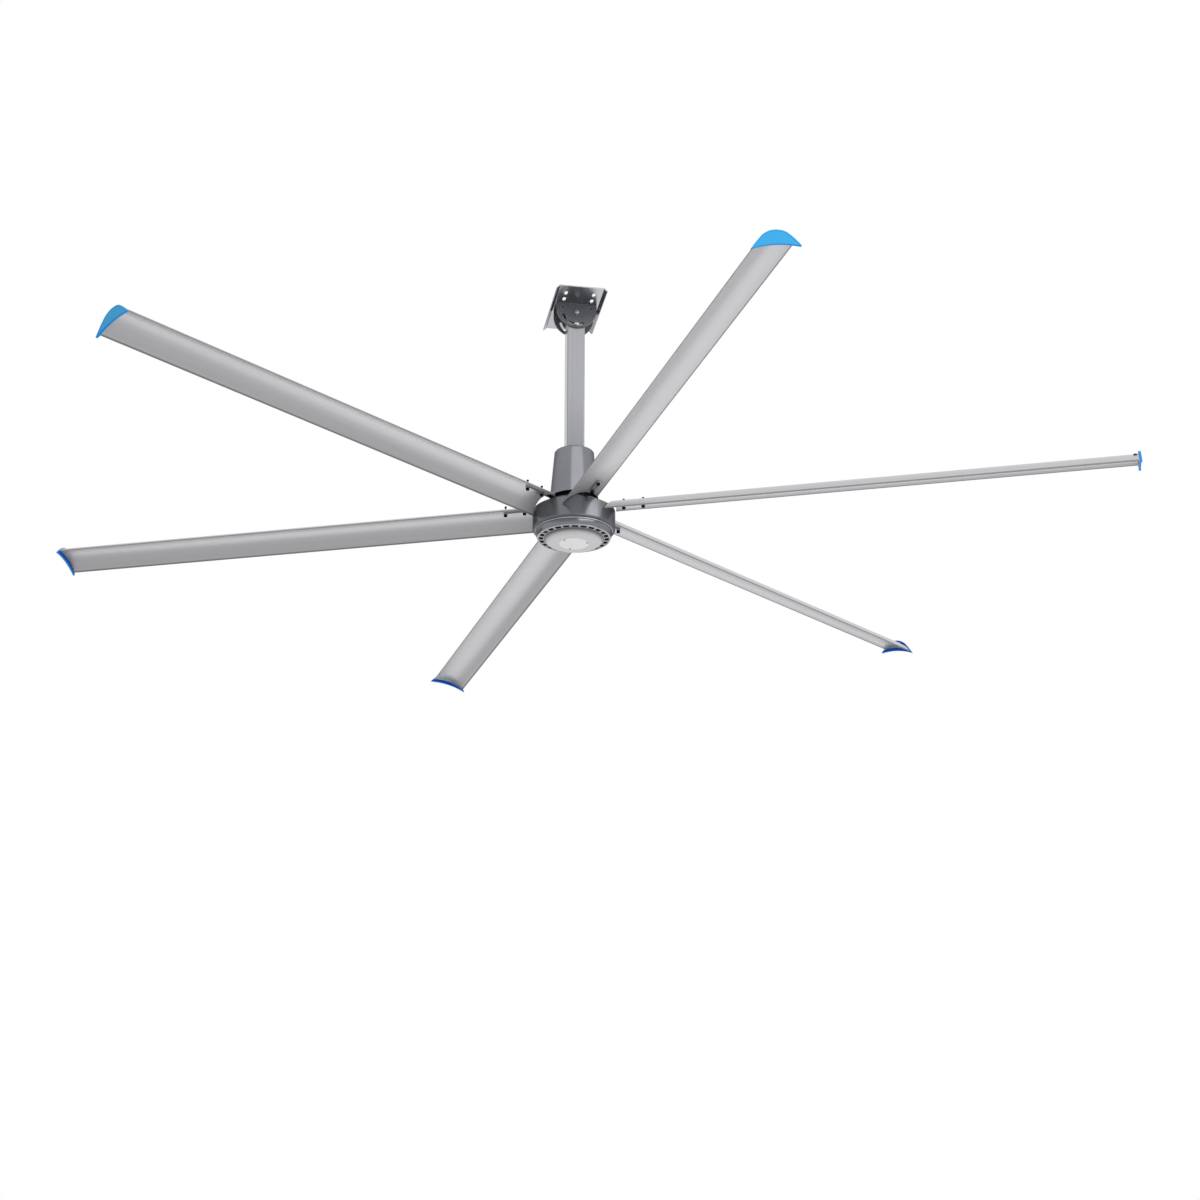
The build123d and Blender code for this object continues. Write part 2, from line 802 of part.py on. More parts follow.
def winglet_outline():
    flank = ThreePointArc(winglet_tail, winglet_flank, winglet_shoulder)
    knee = TangentArc(winglet_shoulder, winglet_knee, tangent=flank % 1)
    crown = TangentArc(winglet_knee, winglet_crown, tangent=knee % 1)
    brow = TangentArc(winglet_crown, winglet_brow, tangent=crown % 1)
    fall = TangentArc(winglet_brow, winglet_nose, tangent=brow % 1)
    nose = Line(winglet_nose, winglet_nose_low)
    lower = ThreePointArc(winglet_nose_low, winglet_belly, winglet_tail_low)
    tail = Line(winglet_tail_low, winglet_tail)
    return make_face([flank, knee, crown, brow, fall, nose, lower, tail])


def winglet():
    """The upright fin that closes the blade along +X, with a shallow rim round its outer face."""
    outline = winglet_outline()
    fin = extrude(Plane.YZ.offset(fan_radius - winglet_thickness) * outline, winglet_thickness)
    recess = offset(outline, -winglet_rim)
    fin = fin - extrude(Plane.YZ.offset(fan_radius - winglet_recess) * recess, winglet_recess + cut_past)
    return Pos(0, 0, blade_level) * fin


def tip_plates():
    """The plates between blades and winglets, each with a plug that fits in the blade's rear hollow."""
    rise = ThreePointArc(tip_plate_tail, tip_plate_shoulder, tip_plate_crown)
    fall = TangentArc(tip_plate_crown, tip_plate_nose, tangent=rise % 1)
    lower = ThreePointArc(tip_plate_nose, tip_plate_belly, tip_plate_tail)
    plate = extrude(Plane.YZ.offset(blade_end) * make_face([rise, fall, lower]), tip_plate_thickness)
    strip = Pos((plug_start + plug_end) / 2, 0) * Rectangle(plug_end - plug_start, cut)
    plug_face = blade_cavities(plug_gap)[0] & strip
    plug = extrude(Plane.YZ.offset(blade_end - plug_depth) * plug_face, plug_depth)
    piece = Pos(0, 0, blade_level) * (plate + plug)
    return group(around(blade_count, piece, first_blade_angle))


# The nodes, by name

nodes = {
    "ceiling_plate": ceiling_plate(),
    "front_ear": ear(-1),
    "rear_ear": ear(1),
    "down_tube": down_tube(),
    "pivot_bolt": bracket_bolt(pivot_level),
    "pivot_nut": bracket_nut(pivot_level),
    "clamp_bolt": bracket_bolt(pivot_level - slot_radius),
    "clamp_nut": bracket_nut(pivot_level - slot_radius),
    "neck_cover": neck_cover(),
    "neck_collar": neck_collar(),
    "tube_flange": tube_flange(),
    "flange_bolts": flange_bolts(),
    "motor_shaft": motor_shaft(),
    "shaft_nut": shaft_nut(),
    "stator_core": stator_core(),
    "stator_windings": stator_windings(),
    "upper_inner_race": inner_race(True),
    "lower_inner_race": inner_race(False),
    "upper_outer_race": outer_race(True),
    "lower_outer_race": outer_race(False),
    "bearing_cages": bearing_cages(),
    "magnets": magnets(),
    "drum_shell": drum_shell(),
    "drum_lid": drum_lid(),
    "lower_ring": lower_ring(),
    "vent_ring": vent_ring(),
    "bottom_cover": bottom_cover(),
    "centre_disc": centre_disc(),
    "hub_plate": hub_plate(),
    "hub_bolts": hub_bolts(),
    "clamp_bars": clamp_bars(),
    "blade_bolts": blade_bolts(),
    "blade_nuts": blade_nuts(),
    "tip_plates": tip_plates(),
}
one_arm = arm()
one_blade = blade()
one_winglet = winglet()
for number, angle in enumerate(blade_angles, 1):
    nodes[f"arm_{number}"] = Rot(0, 0, angle) * one_arm
    nodes[f"blade_{number}"] = Rot(0, 0, angle) * one_blade
    nodes[f"winglet_{number}"] = Rot(0, 0, angle) * one_winglet

os.makedirs("parts", exist_ok=True)
for name, shape in nodes.items():
    export_step(shape, f"parts/{name}.step")
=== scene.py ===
import json
from math import atan2, cos, hypot, pi, radians, sin

import bmesh
import bpy
from mathutils import Matrix, Vector


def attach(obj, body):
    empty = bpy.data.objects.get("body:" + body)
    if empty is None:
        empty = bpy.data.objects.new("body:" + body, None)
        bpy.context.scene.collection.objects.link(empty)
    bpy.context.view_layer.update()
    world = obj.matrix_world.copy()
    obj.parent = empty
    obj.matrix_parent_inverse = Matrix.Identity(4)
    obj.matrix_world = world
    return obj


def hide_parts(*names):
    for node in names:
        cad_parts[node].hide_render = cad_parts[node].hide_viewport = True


# A six-blade, high-volume low-speed ceiling fan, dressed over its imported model.
# Lengths are millimetres, and heights are above the blade level, unless a comment says otherwise.
MM = 0.001

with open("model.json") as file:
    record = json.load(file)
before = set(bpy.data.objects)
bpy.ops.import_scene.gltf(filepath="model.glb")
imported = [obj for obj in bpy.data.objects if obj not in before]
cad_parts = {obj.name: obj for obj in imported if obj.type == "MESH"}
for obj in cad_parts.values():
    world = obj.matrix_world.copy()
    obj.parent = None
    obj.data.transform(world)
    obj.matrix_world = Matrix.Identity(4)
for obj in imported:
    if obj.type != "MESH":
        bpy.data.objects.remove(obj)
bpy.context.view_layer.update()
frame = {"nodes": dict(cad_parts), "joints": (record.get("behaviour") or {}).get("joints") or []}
nodes = frame["nodes"]
joints = {joint["name"]: joint for joint in frame["joints"]}

# Places in the frame, in metres
BLADE_LEVEL = joints["rotor_spin"]["pos_m"][2]
PIVOT_LEVEL = joints["mount_tilt"]["pos_m"][2]

# The sweep and the blades' places round it
FAN_RADIUS = 2440.0
BLADE_COUNT = 6
FIRST_BLADE_ANGLE = -22.6
BLADE_ANGLES = [FIRST_BLADE_ANGLE + i * 360 / BLADE_COUNT for i in range(BLADE_COUNT)]

# How finely curves are divided, and the bend past which an edge is a hard one
TURN_STEPS = 144
SMALL_TURN_STEPS = 32
ROD_STEPS = 20
ARC_STEPS = 10
SMALL_ARC_STEPS = 5
DOME_ARC_STEPS = 16
SHARP_ANGLE = radians(24)

# Vertices closer than this, in metres, share a place or a level
SAME_PLACE = 1e-7


# Shapes

def arc(first, middle, last, steps=ARC_STEPS):
    """Points along the circle through three points, without the last one, and the heading at the end."""
    a, b, c = Vector(first), Vector(middle), Vector(last)
    d = 2 * ((b - a).x * (c - a).y - (b - a).y * (c - a).x)
    ab, ac = (b - a).length_squared, (c - a).length_squared
    centre = a + Vector(((c - a).y * ab - (b - a).y * ac, (b - a).x * ac - (c - a).x * ab)) / d
    swept = (a - centre).angle_signed(c - centre)
    if (d > 0) == (swept > 0):
        swept += -2 * pi if swept > 0 else 2 * pi
    return turn_points(centre, a, -swept, steps)


def turn_points(centre, start, swept, steps):
    """Points of an arc about a centre, without the last one, and the heading at the end."""
    arm = start - centre
    points = [centre + Matrix.Rotation(swept * i / steps, 2) @ arm for i in range(steps)]
    end_arm = Matrix.Rotation(swept, 2) @ arm
    heading = Vector((-end_arm.y, end_arm.x)) * (1 if swept > 0 else -1)
    return [tuple(p) for p in points], heading.normalized()


def tangent_arc(first, last, heading, steps=ARC_STEPS):
    """As arc, for the circle that leaves the first point along a heading."""
    a, c = Vector(first), Vector(last)
    side = Vector((-heading.y, heading.x))
    run = c - a
    radius = run.length_squared / (2 * run.dot(side))
    swept = 2 * atan2(run.dot(side), run.dot(heading))
    return turn_points(a + side * radius, a, swept, steps)


def turned(outline, steps=TURN_STEPS, closed=True):
    """Spins an outline of radii and heights about the Z axis."""
    bm = bmesh.new()
    verts = [bm.verts.new((r * MM, 0, z * MM)) for r, z in outline]
    ends = verts[1:] + verts[:1] if closed else verts[1:]
    edges = [bm.edges.new(pair) for pair in zip(verts, ends)]
    bmesh.ops.spin(bm, geom=verts + edges, cent=(0, 0, 0), axis=(0, 0, 1), angle=2 * pi,
                   steps=steps, use_merge=True)
    bmesh.ops.remove_doubles(bm, verts=bm.verts, dist=SAME_PLACE)
    bmesh.ops.recalc_face_normals(bm, faces=bm.faces)
    return bm


def hexagon(across, low, high, chamfer=0.8):
    """A hexagonal head between two heights, with its outer corners turned off."""
    bm = bmesh.new()
    radius = across / 2 / cos(pi / 6) * MM
    made = bmesh.ops.create_cone(bm, cap_ends=True, segments=6, radius1=radius, radius2=radius,
                                 depth=(high - low) * MM)
    bmesh.ops.translate(bm, verts=made["verts"], vec=(0, 0, (high + low) / 2 * MM))
    rims = [e for e in bm.edges if abs(e.verts[0].co.z - e.verts[1].co.z) < SAME_PLACE]
    bmesh.ops.bevel(bm, geom=rims, offset=chamfer * MM, affect="EDGES", segments=2, profile=0.5, material=-1)
    return bm


# Depth of a thread, as a share of its pitch
THREAD_DEPTH = 0.6


def threaded_rod(crest, low, high, pitch):
    """A round bar on Z whose side is cut by thread-like rings."""
    root = crest - THREAD_DEPTH * pitch
    outline = [(0, low), (root, low)]
    height = low
    while height + pitch <= high:
        outline += [(crest, height + pitch / 2), (root, height + pitch)]
        height += pitch
    return turned(outline + [(root, high), (0, high)], ROD_STEPS, closed=False)


def round_bar(radius, low, high, steps=ROD_STEPS):
    """A plain round bar on Z."""
    return turned([(0, low), (radius, low), (radius, high), (0, high)], steps, closed=False)


# A button head in shares of its radius and height: three points of its dome, its socket and its foot
DOME_LOW, DOME_SIDE, DOME_TOP = (1.0, 0.25), (0.8, 0.78), (0.45, 1.0)
SOCKET_RADIUS, SOCKET_FLOOR = 0.4, 0.35
HEAD_FOOT = -0.5


def button_screw(radius, height):
    """A button-head screw standing on Z, its dome sunk round a socket."""
    dome_low, dome_side, dome_top = [(r * radius, z * height) for r, z in (DOME_LOW, DOME_SIDE, DOME_TOP)]
    dome, _ = arc(dome_low, dome_side, dome_top, SMALL_ARC_STEPS)
    pit, pit_floor = SOCKET_RADIUS * radius, SOCKET_FLOOR * height
    foot = HEAD_FOOT * height
    outline = [(0, foot), (radius, foot)] + dome + [
        dome_top, (pit, height), (pit, pit_floor), (0, pit_floor)]
    return turned(outline, SMALL_TURN_STEPS, closed=False)


def placed(bm, place):
    """Moves a mesh by a matrix."""
    bmesh.ops.transform(bm, matrix=place, verts=bm.verts)
    return bm


def joined(parts):
    """One mesh from several."""
    whole = bmesh.new()
    for part in parts:
        mesh = bpy.data.meshes.new("part")
        part.to_mesh(mesh)
        part.free()
        whole.from_mesh(mesh)
        bpy.data.meshes.remove(mesh)
    return whole


def at_level(x=0.0, y=0.0, height=0.0):
    """A place measured from the fan's axis at the blade level."""
    return Matrix.Translation((x * MM, y * MM, BLADE_LEVEL + height * MM))


def turn_about_z(degrees):
    """A turn about the Z axis."""
    return Matrix.Rotation(radians(degrees), 4, "Z")


def piece(name, bm, materials, body, replaces=()):
    """Makes the finished object: smooth faces, hard edges where it bends sharply, and what it rides on."""
    bm.normal_update()
    for face in bm.faces:
        face.smooth = True
    for edge in bm.edges:
        edge.smooth = len(edge.link_faces) != 2 or edge.calc_face_angle(0) < SHARP_ANGLE
    mesh = bpy.data.meshes.new(name)
    bm.to_mesh(mesh)
    bm.free()
    made = bpy.data.objects.new(name, mesh)
    bpy.context.scene.collection.objects.link(made)
    for material in materials:
        mesh.materials.append(material)
    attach(made, body)
    if replaces:
        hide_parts(*replaces)


# Materials

def linear(hex_colour):
    """An sRGB hex colour as a linear one with alpha."""
    parts = [int(hex_colour[i:i + 2], 16) / 255 for i in (1, 3, 5)]
    return tuple(c / 12.92 if c <= 0.04045 else ((c + 0.055) / 1.055) ** 2.4 for c in parts) + (1.0,)


def add_node(tree, kind, inputs=None, **settings):
    """Adds a shader node with its settings, and sets or links its inputs."""
    made = tree.nodes.new(kind)
    for name, value in settings.items():
        setattr(made, name, value)
    for name, value in (inputs or {}).items():
        if isinstance(value, bpy.types.NodeSocket):
            tree.links.new(value, made.inputs[name])
        else:
            made.inputs[name].default_value = value
    return made


def new_material(name):
    """An empty material and its tree."""
    material = bpy.data.materials.new(name)
    material.use_nodes = True
    material.node_tree.nodes.clear()
    return material, material.node_tree


# The Mix node's colour sockets share their names with others, so they are found by number
MIX_SHARE, MIX_FIRST, MIX_SECOND, MIX_RESULT = 0, 6, 7, 2
# The spans of a noise's value over which one colour passes to the other: in patches, and in lines
PATCH_BAND = (0.35, 0.65)
LINE_BAND = (0.3, 0.7)


def finish(name, colours, patches, grain, relief, look, band=PATCH_BAND, rise=None, uv_map=None):
    """A surface that passes between two close colours in patches, under a fine relief.

    Patches and grain each have a size along three axes, in millimetres, and a measure of finer detail. The
    relief has a strength and a depth in millimetres. With a rise in place of patches, the colours pass from
    the first to the second between two heights. The look goes on the shader's own sockets.
    """
    material, tree = new_material(name)
    if uv_map:
        place = add_node(tree, "ShaderNodeUVMap", uv_map=uv_map).outputs["UV"]
    else:
        place = add_node(tree, "ShaderNodeTexCoord").outputs["Object"]
    values = []
    for size, detail in [grain] if rise else [grain, patches]:
        scale = [1 / (length * MM) for length in size]
        drawn = add_node(tree, "ShaderNodeMapping", {"Vector": place, "Scale": scale}).outputs["Vector"]
        noise = add_node(tree, "ShaderNodeTexNoise", {"Vector": drawn, "Scale": 1.0, "Detail": detail})
        values.append(noise.outputs["Fac"])
    height, mask = values[0], values[-1]
    if rise:
        mask = add_node(tree, "ShaderNodeSeparateXYZ", {"Vector": place}).outputs["Z"]
        band = [BLADE_LEVEL + level * MM for level in rise]
    share = add_node(tree, "ShaderNodeMapRange", {"Value": mask, "From Min": band[0], "From Max": band[1]})
    tone = add_node(tree, "ShaderNodeMix", {
        MIX_SHARE: share.outputs["Result"], MIX_FIRST: linear(colours[0]), MIX_SECOND: linear(colours[1])},
        data_type="RGBA")
    strength, depth = relief
    bump = add_node(tree, "ShaderNodeBump", {
        "Height": height, "Strength": strength, "Distance": depth * MM})
    shader = add_node(tree, "ShaderNodeBsdfPrincipled", {
        "Base Color": tone.outputs[MIX_RESULT], "Normal": bump.outputs["Normal"], **look})
    add_node(tree, "ShaderNodeOutputMaterial", {"Surface": shader.outputs["BSDF"]})
    return material


def all_ways(size):
    """The same size along all three axes."""
    return (size, size, size)


# A pixel of the 1200-pixel frame is about 4.4 mm wide at the hub, and patterns too fine for it are drawn
# coarser. The real sizes that the comments name are typical ones.

# Baked paint and powder coat dry with an orange peel about 2 mm across, which makes a reflection waver. It
# is drawn 6 mm across, to show.
PEEL = (all_ways(6.0), 2.0)
PEEL_RELIEF = (0.1, 0.4)
# Coats are a little thicker in some places than in others, which shifts the tone over a hand's breadth
COAT_DRIFT = (all_ways(90.0), 4.0)
# Bare and plated metals have rolled or turned marks well under a millimetre wide, which break up their
# highlights. They are drawn 4 mm wide, to show, over broader changes of lustre.
MARKS = (all_ways(4.0), 5.0)
MARKS_RELIEF = (0.08, 0.4)


def metallic_paint(name, colours, roughness, metallic, edge):
    """Sprayed and baked paint with metal flakes; the edge colour tints it where it turns from the eye."""
    return finish(name, colours, COAT_DRIFT, PEEL, PEEL_RELIEF,
                  {"Roughness": roughness, "Metallic": metallic, "Specular Tint": linear(edge)})


def metal(name, colours, roughness, lustre_mm=12.0, edge="#ffffff"):
    """Bare or plated metal, whose lustre changes over a length; the edge colour is as on metallic paint."""
    return finish(name, colours, (all_ways(lustre_mm), 4.0), MARKS, MARKS_RELIEF,
                  {"Roughness": roughness, "Metallic": 1.0, "Specular Tint": linear(edge)})


# Dark powder coat on steel plate: satin, with a broad soft sheen, a little metallic as in the photograph
# Its dark grey is partly the coat's own and partly painted shade, on the ears and the weld beads alike
ear_coat_and_shade = finish("dark grey powder coat", ("#5e5f64", "#646569"), COAT_DRIFT, PEEL, PEEL_RELIEF,
                  {"Roughness": 0.36, "Metallic": 0.3})

# Powder coat over cold-drawn square tube: the draw lines give it faint upright streaks. Real ones are under
# a millimetre apart, and are drawn 4.5 mm apart, to show.
DRAW_LINES = ((4.5, 4.5, 2000.0), 2.0)
DRAW_RELIEF = (0.06, 0.2)
tube_coat = finish("grey powder coat on drawn tube", ("#97989c", "#9e9fa3"), DRAW_LINES, DRAW_LINES,
                   DRAW_RELIEF, {"Roughness": 0.12, "Metallic": 0.25})

# Metallic paint: aluminium flakes in the grey give it a metal's sheen, bright where it meets a light and
# dark beside it, with a tint that keeps its edges from flashing white
neck_coat = metallic_paint("grey metallic paint, neck", ("#808186", "#84858a"), 0.17, 0.8, "#8c8c8c")
drum_coat = metallic_paint("grey metallic paint, drum", ("#747579", "#78797d"), 0.27, 0.75, "#707070")
ring_coat = metallic_paint("grey metallic paint, ring", ("#7c7d82", "#808186"), 0.18, 0.8, "#8c8c8c")
# The same paint on the ring's bead and rim, brighter: a painted highlight along them, with a white edge
trim_highlight_coat = metallic_paint("grey metallic paint, painted highlight on bead and rim", ("#b4b5b9", "#b8b9bd"), 0.25, 0.6, "#ffffff")

# Powder coat on the vents' sheet: paler than the drum, so that it sets off the dark slots
vent_coat = finish("grey powder coat, vents", ("#a2a3a8", "#a8a9ad"), COAT_DRIFT, PEEL, PEEL_RELIEF,
                   {"Roughness": 0.4, "Metallic": 0.3})

# Baked enamel on the spun cover: pale and satin on the flat. Up the skirt by the vents it turns grey,
# which is painted shade.
COVER_SHADE_RISE = (-119.5, -108.0)
cover_coat_and_shade = finish("light grey baked enamel", ("#d4d4d6", "#66676c"), None, PEEL, PEEL_RELIEF,
                    {"Roughness": 0.4}, rise=COVER_SHADE_RISE)
# Baked enamel on the disc: white and satin, the palest part of the fan
disc_coat = finish("white baked enamel", ("#f0f0f0", "#f2f2f2"), COAT_DRIFT, PEEL, PEEL_RELIEF,
                   {"Roughness": 0.45})

# Anodised aluminium, extruded: a soft, even sheen under a clear grey skin, so only half as metallic as bare
# metal. The die's lines run along the blade. They are about a millimetre apart, and are drawn 11 mm apart,
# to show.
DIE_LINES = ((833.0, 11.1, 1000.0), 1.0)
DIE_RELIEF = (0.02, 0.2)
blade_finish = finish("anodised aluminium extrusion", ("#c1c1c4", "#c4c4c7"), DIE_LINES, DIE_LINES,
                      DIE_RELIEF, {"Roughness": 0.36, "Metallic": 0.5}, LINE_BAND, uv_map="section")
# The same on the blade's two edges, darker: painted shade that gives a thin dark line along each edge
blade_edge_shade = finish("anodised aluminium, painted edge shade", ("#8c8c8f", "#909093"), DIE_LINES, DIE_LINES,
                    DIE_RELIEF, {"Roughness": 0.45, "Metallic": 0.5}, LINE_BAND, uv_map="section")

# Moulded ABS: clear blue, softly glossy, with a slight haze from the mould's grain. The grain is about
# 0.3 mm, and is drawn 4 mm across, to show. The blues are matched to the photograph: one blue in three
# tones, with painted light making the outer face the palest and painted shade making the back the deepest.
MOULD_FLOW = (all_ways(60.0), 2.0)
MOULD_GRAIN = (all_ways(4.0), 2.0)
MOULD_RELIEF = (0.05, 0.3)
ABS_LOOK = {"Roughness": 0.35, "IOR": 1.53, "Specular IOR Level": 0.1}
winglet_edge, winglet_face_painted_light, winglet_back_painted_shade = [
    finish(f"blue moulded ABS, {part}", colours, MOULD_FLOW, MOULD_GRAIN, MOULD_RELIEF, ABS_LOOK)
    for part, colours in (
        ("edge", ("#0890e6", "#0c94e8")),
        ("outer face", ("#38ace8", "#3cafea")),
        ("back", ("#0056cc", "#005ad0")))]

# Zinc plate on rolled sheet: bright, with a cloudy lustre that changes every 60 mm or so
plate_zinc = metal("zinc plated steel sheet", ("#a0a1a5", "#a6a7ab"), 0.26, 60.0)
# Zinc plate on turned and forged parts: bright, slightly blue
zinc_plate = metal("zinc plated steel", ("#a6a7ab", "#b6b7bb"), 0.3)
# Black oxide on screws and blade bolts: nearly black, with a dull dark shine on the edges
black_oxide = metal("black oxide steel", ("#1c1c1e", "#28282b"), 0.45, edge="#404040")
# Dark plating on the sawn hub plate and arms: a dull grey that takes little light
hub_finish = metal("dark plated steel", ("#4a4b4f", "#56575b"), 0.45)
# Stamped silicon steel, stacked: a matt grey, as its cut edges scatter the light
lamination_steel = metal("stamped silicon steel", ("#5b5d61", "#696b70"), 0.5)
# Enamelled copper wire, wound: a warm brown shine
copper = metal("enamelled copper wire", ("#8a4a26", "#a05a30"), 0.4)

for material, names in (
        (plate_zinc, ["ceiling_plate"]),
        (ear_coat_and_shade, ["front_ear", "rear_ear"]),
        (tube_coat, ["down_tube"]),
        (hub_finish, ["hub_plate"] + [f"arm_{i + 1}" for i in range(BLADE_COUNT)]),
        (lamination_steel, ["stator_core", "magnets"]),
        (copper, ["stator_windings"]),
        (zinc_plate, [
            "neck_collar", "tube_flange", "flange_bolts", "motor_shaft", "shaft_nut", "upper_inner_race",
            "lower_inner_race", "upper_outer_race", "lower_outer_race", "bearing_cages", "tip_plates",
            "clamp_bars"])):
    for name in names:
        nodes[name].data.materials.clear()
        nodes[name].data.materials.append(material)


# Ceiling bracket: its two bolts, and the beads that weld the ears to the plate

WASHER_FACE = 51.8
WASHER_RADIUS, WASHER_THICKNESS = 12.0, 2.5
BOLT_RADIUS, BOLT_ACROSS = 6.0, 19.0
HEAD_HEIGHT, NUT_HEIGHT, THREAD_PAST_NUT = 7.5, 10.8, 4.0
THREAD_PITCH = 1.75
BOLT_CHAMFER, WASHER_CHAMFER = 1.1, 0.4
CLAMP_DROP = 60.0
EAR_OUTER_FACE, EAR_HALF_WIDTH, WEB_UNDERSIDE = 49.0, 92.0, -5.0
WELD_END_GAP = 4.0
WELD_LENGTH = 2 * (EAR_HALF_WIDTH - WELD_END_GAP)
WELD_RADIUS, WELD_RIPPLE, WELD_PITCH, WELD_STEPS = 3.4, 0.35, 2.6, 16


def washer(low):
    """A washer on Z that starts at a height."""
    high = low + WASHER_THICKNESS
    flat = WASHER_RADIUS - WASHER_CHAMFER
    outline = [(BOLT_RADIUS, low), (flat, low), (WASHER_RADIUS, low + WASHER_CHAMFER),
               (WASHER_RADIUS, high - WASHER_CHAMFER), (flat, high), (BOLT_RADIUS, high)]
    return turned(outline, SMALL_TURN_STEPS)


def bracket_bolt():
    """A hexagon bolt on Z with its nut, and a washer under each."""
    end = WASHER_FACE + NUT_HEIGHT
    return joined([
        hexagon(BOLT_ACROSS, -WASHER_FACE - HEAD_HEIGHT, -WASHER_FACE, BOLT_CHAMFER),
        washer(-WASHER_FACE),
        round_bar(BOLT_RADIUS, -WASHER_FACE, end, SMALL_TURN_STEPS),
        washer(WASHER_FACE - WASHER_THICKNESS),
        hexagon(BOLT_ACROSS, WASHER_FACE, end, BOLT_CHAMFER),
        threaded_rod(BOLT_RADIUS, end, end + THREAD_PAST_NUT, THREAD_PITCH)])


def weld_bead(side):
    """A rippled bead along X, in the corner of the plate and an ear."""
    valley = WELD_RADIUS - WELD_RIPPLE
    end = WELD_LENGTH / 2
    outline = [(0, -end)]
    for i in range(int(WELD_LENGTH / WELD_PITCH)):
        height = i * WELD_PITCH - end
        outline += [(valley, height), (WELD_RADIUS, height + WELD_PITCH / 2)]
    bead = turned(outline + [(valley, end), (0, end)], WELD_STEPS, closed=False)
    corner = Matrix.Translation((0, side * EAR_OUTER_FACE * MM, WEB_UNDERSIDE * MM))
    return placed(bead, corner @ Matrix.Rotation(pi / 2, 4, "Y"))


for name, z in (("pivot", PIVOT_LEVEL), ("clamp", PIVOT_LEVEL - CLAMP_DROP * MM)):
    lie_along_y = Matrix.Translation((0, 0, z)) @ Matrix.Rotation(radians(-90), 4, "X")
    piece(f"{name}_bolt_set", placed(bracket_bolt(), lie_along_y), [zinc_plate], "mast",
          [f"{name}_bolt", f"{name}_nut"])

piece("weld_beads", joined([weld_bead(side) for side in (-1, 1)]), [ear_coat_and_shade], "bracket")


# Neck and drum

NECK_BOTTOM, NECK_TOP = 86.0, 313.0
NECK_BOTTOM_RADIUS, NECK_TOP_RADIUS = 108.0, 88.5
NECK_SHOULDER = 7.0
NECK_WALL = 3.0
SMALL_LIP = 0.8
# How far a rounded corner has come at its middle, as a share of its radius
DIAGONAL = sin(radians(45))


def neck_shroud():
    """The neck cover: a cone with a rounded shoulder, closed on top and open below."""
    slope = (NECK_BOTTOM_RADIUS - NECK_TOP_RADIUS) / (NECK_TOP - NECK_BOTTOM)
    low = NECK_TOP - NECK_SHOULDER
    side = NECK_TOP_RADIUS + slope * NECK_SHOULDER
    flat = NECK_TOP_RADIUS - NECK_SHOULDER
    reach = NECK_SHOULDER * DIAGONAL
    shoulder, _ = arc((flat, NECK_TOP), (flat + reach, low + reach), (side, low))
    outer, inner = NECK_BOTTOM_RADIUS, NECK_BOTTOM_RADIUS - NECK_WALL
    outline = [(0, NECK_TOP - NECK_WALL), (0, NECK_TOP)] + shoulder + [
        (side, low), (outer, NECK_BOTTOM + SMALL_LIP), (outer - SMALL_LIP, NECK_BOTTOM),
        (inner + SMALL_LIP, NECK_BOTTOM), (inner, NECK_BOTTOM + SMALL_LIP), (side - NECK_WALL, low),
        (flat + NECK_WALL, NECK_TOP - NECK_WALL)]
    return placed(turned(outline), at_level())


DRUM_RADIUS, DRUM_RIM = 182.5, 24.6
DRUM_EDGE_START, DRUM_FLOOR = -57.0, -67.0
DRUM_EDGE_RADIUS, DRUM_EDGE_BULGE = 175.0, 2.2
RIM_WALL, RIM_ROUND = 4.0, 1.5
SHELF_DEPTH, SHELF_WIDTH = 10.0, 6.0
FLOOR_OPENING, FLOOR_THICKNESS = 60.0, 6.0


def drum_cup():
    """The outside of the cup: its rim, wall and rounded lower edge."""
    middle = ((DRUM_RADIUS + DRUM_EDGE_RADIUS) / 2 + DRUM_EDGE_BULGE,
              (DRUM_EDGE_START + DRUM_FLOOR - DRUM_EDGE_BULGE) / 2)
    edge, _ = arc((DRUM_RADIUS, DRUM_EDGE_START), middle, (DRUM_EDGE_RADIUS, DRUM_FLOOR))
    corner = RIM_ROUND * (1 - DIAGONAL)
    rim, _ = arc((DRUM_RADIUS - RIM_ROUND, DRUM_RIM), (DRUM_RADIUS - corner, DRUM_RIM - corner),
                 (DRUM_RADIUS, DRUM_RIM - RIM_ROUND), SMALL_ARC_STEPS)
    inside = DRUM_RADIUS - RIM_WALL
    shelf = DRUM_RIM - SHELF_DEPTH
    bore = inside - SHELF_WIDTH
    floor_top = DRUM_FLOOR + FLOOR_THICKNESS
    outline = [(inside, shelf), (inside, DRUM_RIM)] + rim + [(DRUM_RADIUS, DRUM_RIM - RIM_ROUND)] + edge + [
        (DRUM_EDGE_RADIUS, DRUM_FLOOR), (FLOOR_OPENING, DRUM_FLOOR), (FLOOR_OPENING, floor_top),
        (bore, floor_top), (bore, shelf)]
    return placed(turned(outline), at_level())


LID_GAP = 0.3
HUB_SEAT_RADIUS, HUB_SEAT_INNER, HUB_SEAT_HEIGHT = 130.0, 70.0, 34.0
HUB_SEAT_CHAMFER = 3.0
BEARING_BORE = 45.0


def lid():
    """The lid, a hair inside the rim, with its raised seat for the hub plate."""
    edge = DRUM_RADIUS - RIM_WALL - LID_GAP
    outline = [
        (BEARING_BORE, DRUM_RIM - SHELF_DEPTH), (edge, DRUM_RIM - SHELF_DEPTH), (edge, DRUM_RIM - SMALL_LIP),
        (edge - SMALL_LIP, DRUM_RIM), (HUB_SEAT_RADIUS + HUB_SEAT_CHAMFER, DRUM_RIM),
        (HUB_SEAT_RADIUS, DRUM_RIM + HUB_SEAT_CHAMFER), (HUB_SEAT_RADIUS, HUB_SEAT_HEIGHT),
        (HUB_SEAT_INNER, HUB_SEAT_HEIGHT), (HUB_SEAT_INNER, DRUM_RIM), (BEARING_BORE, DRUM_RIM)]
    return placed(turned(outline), at_level())


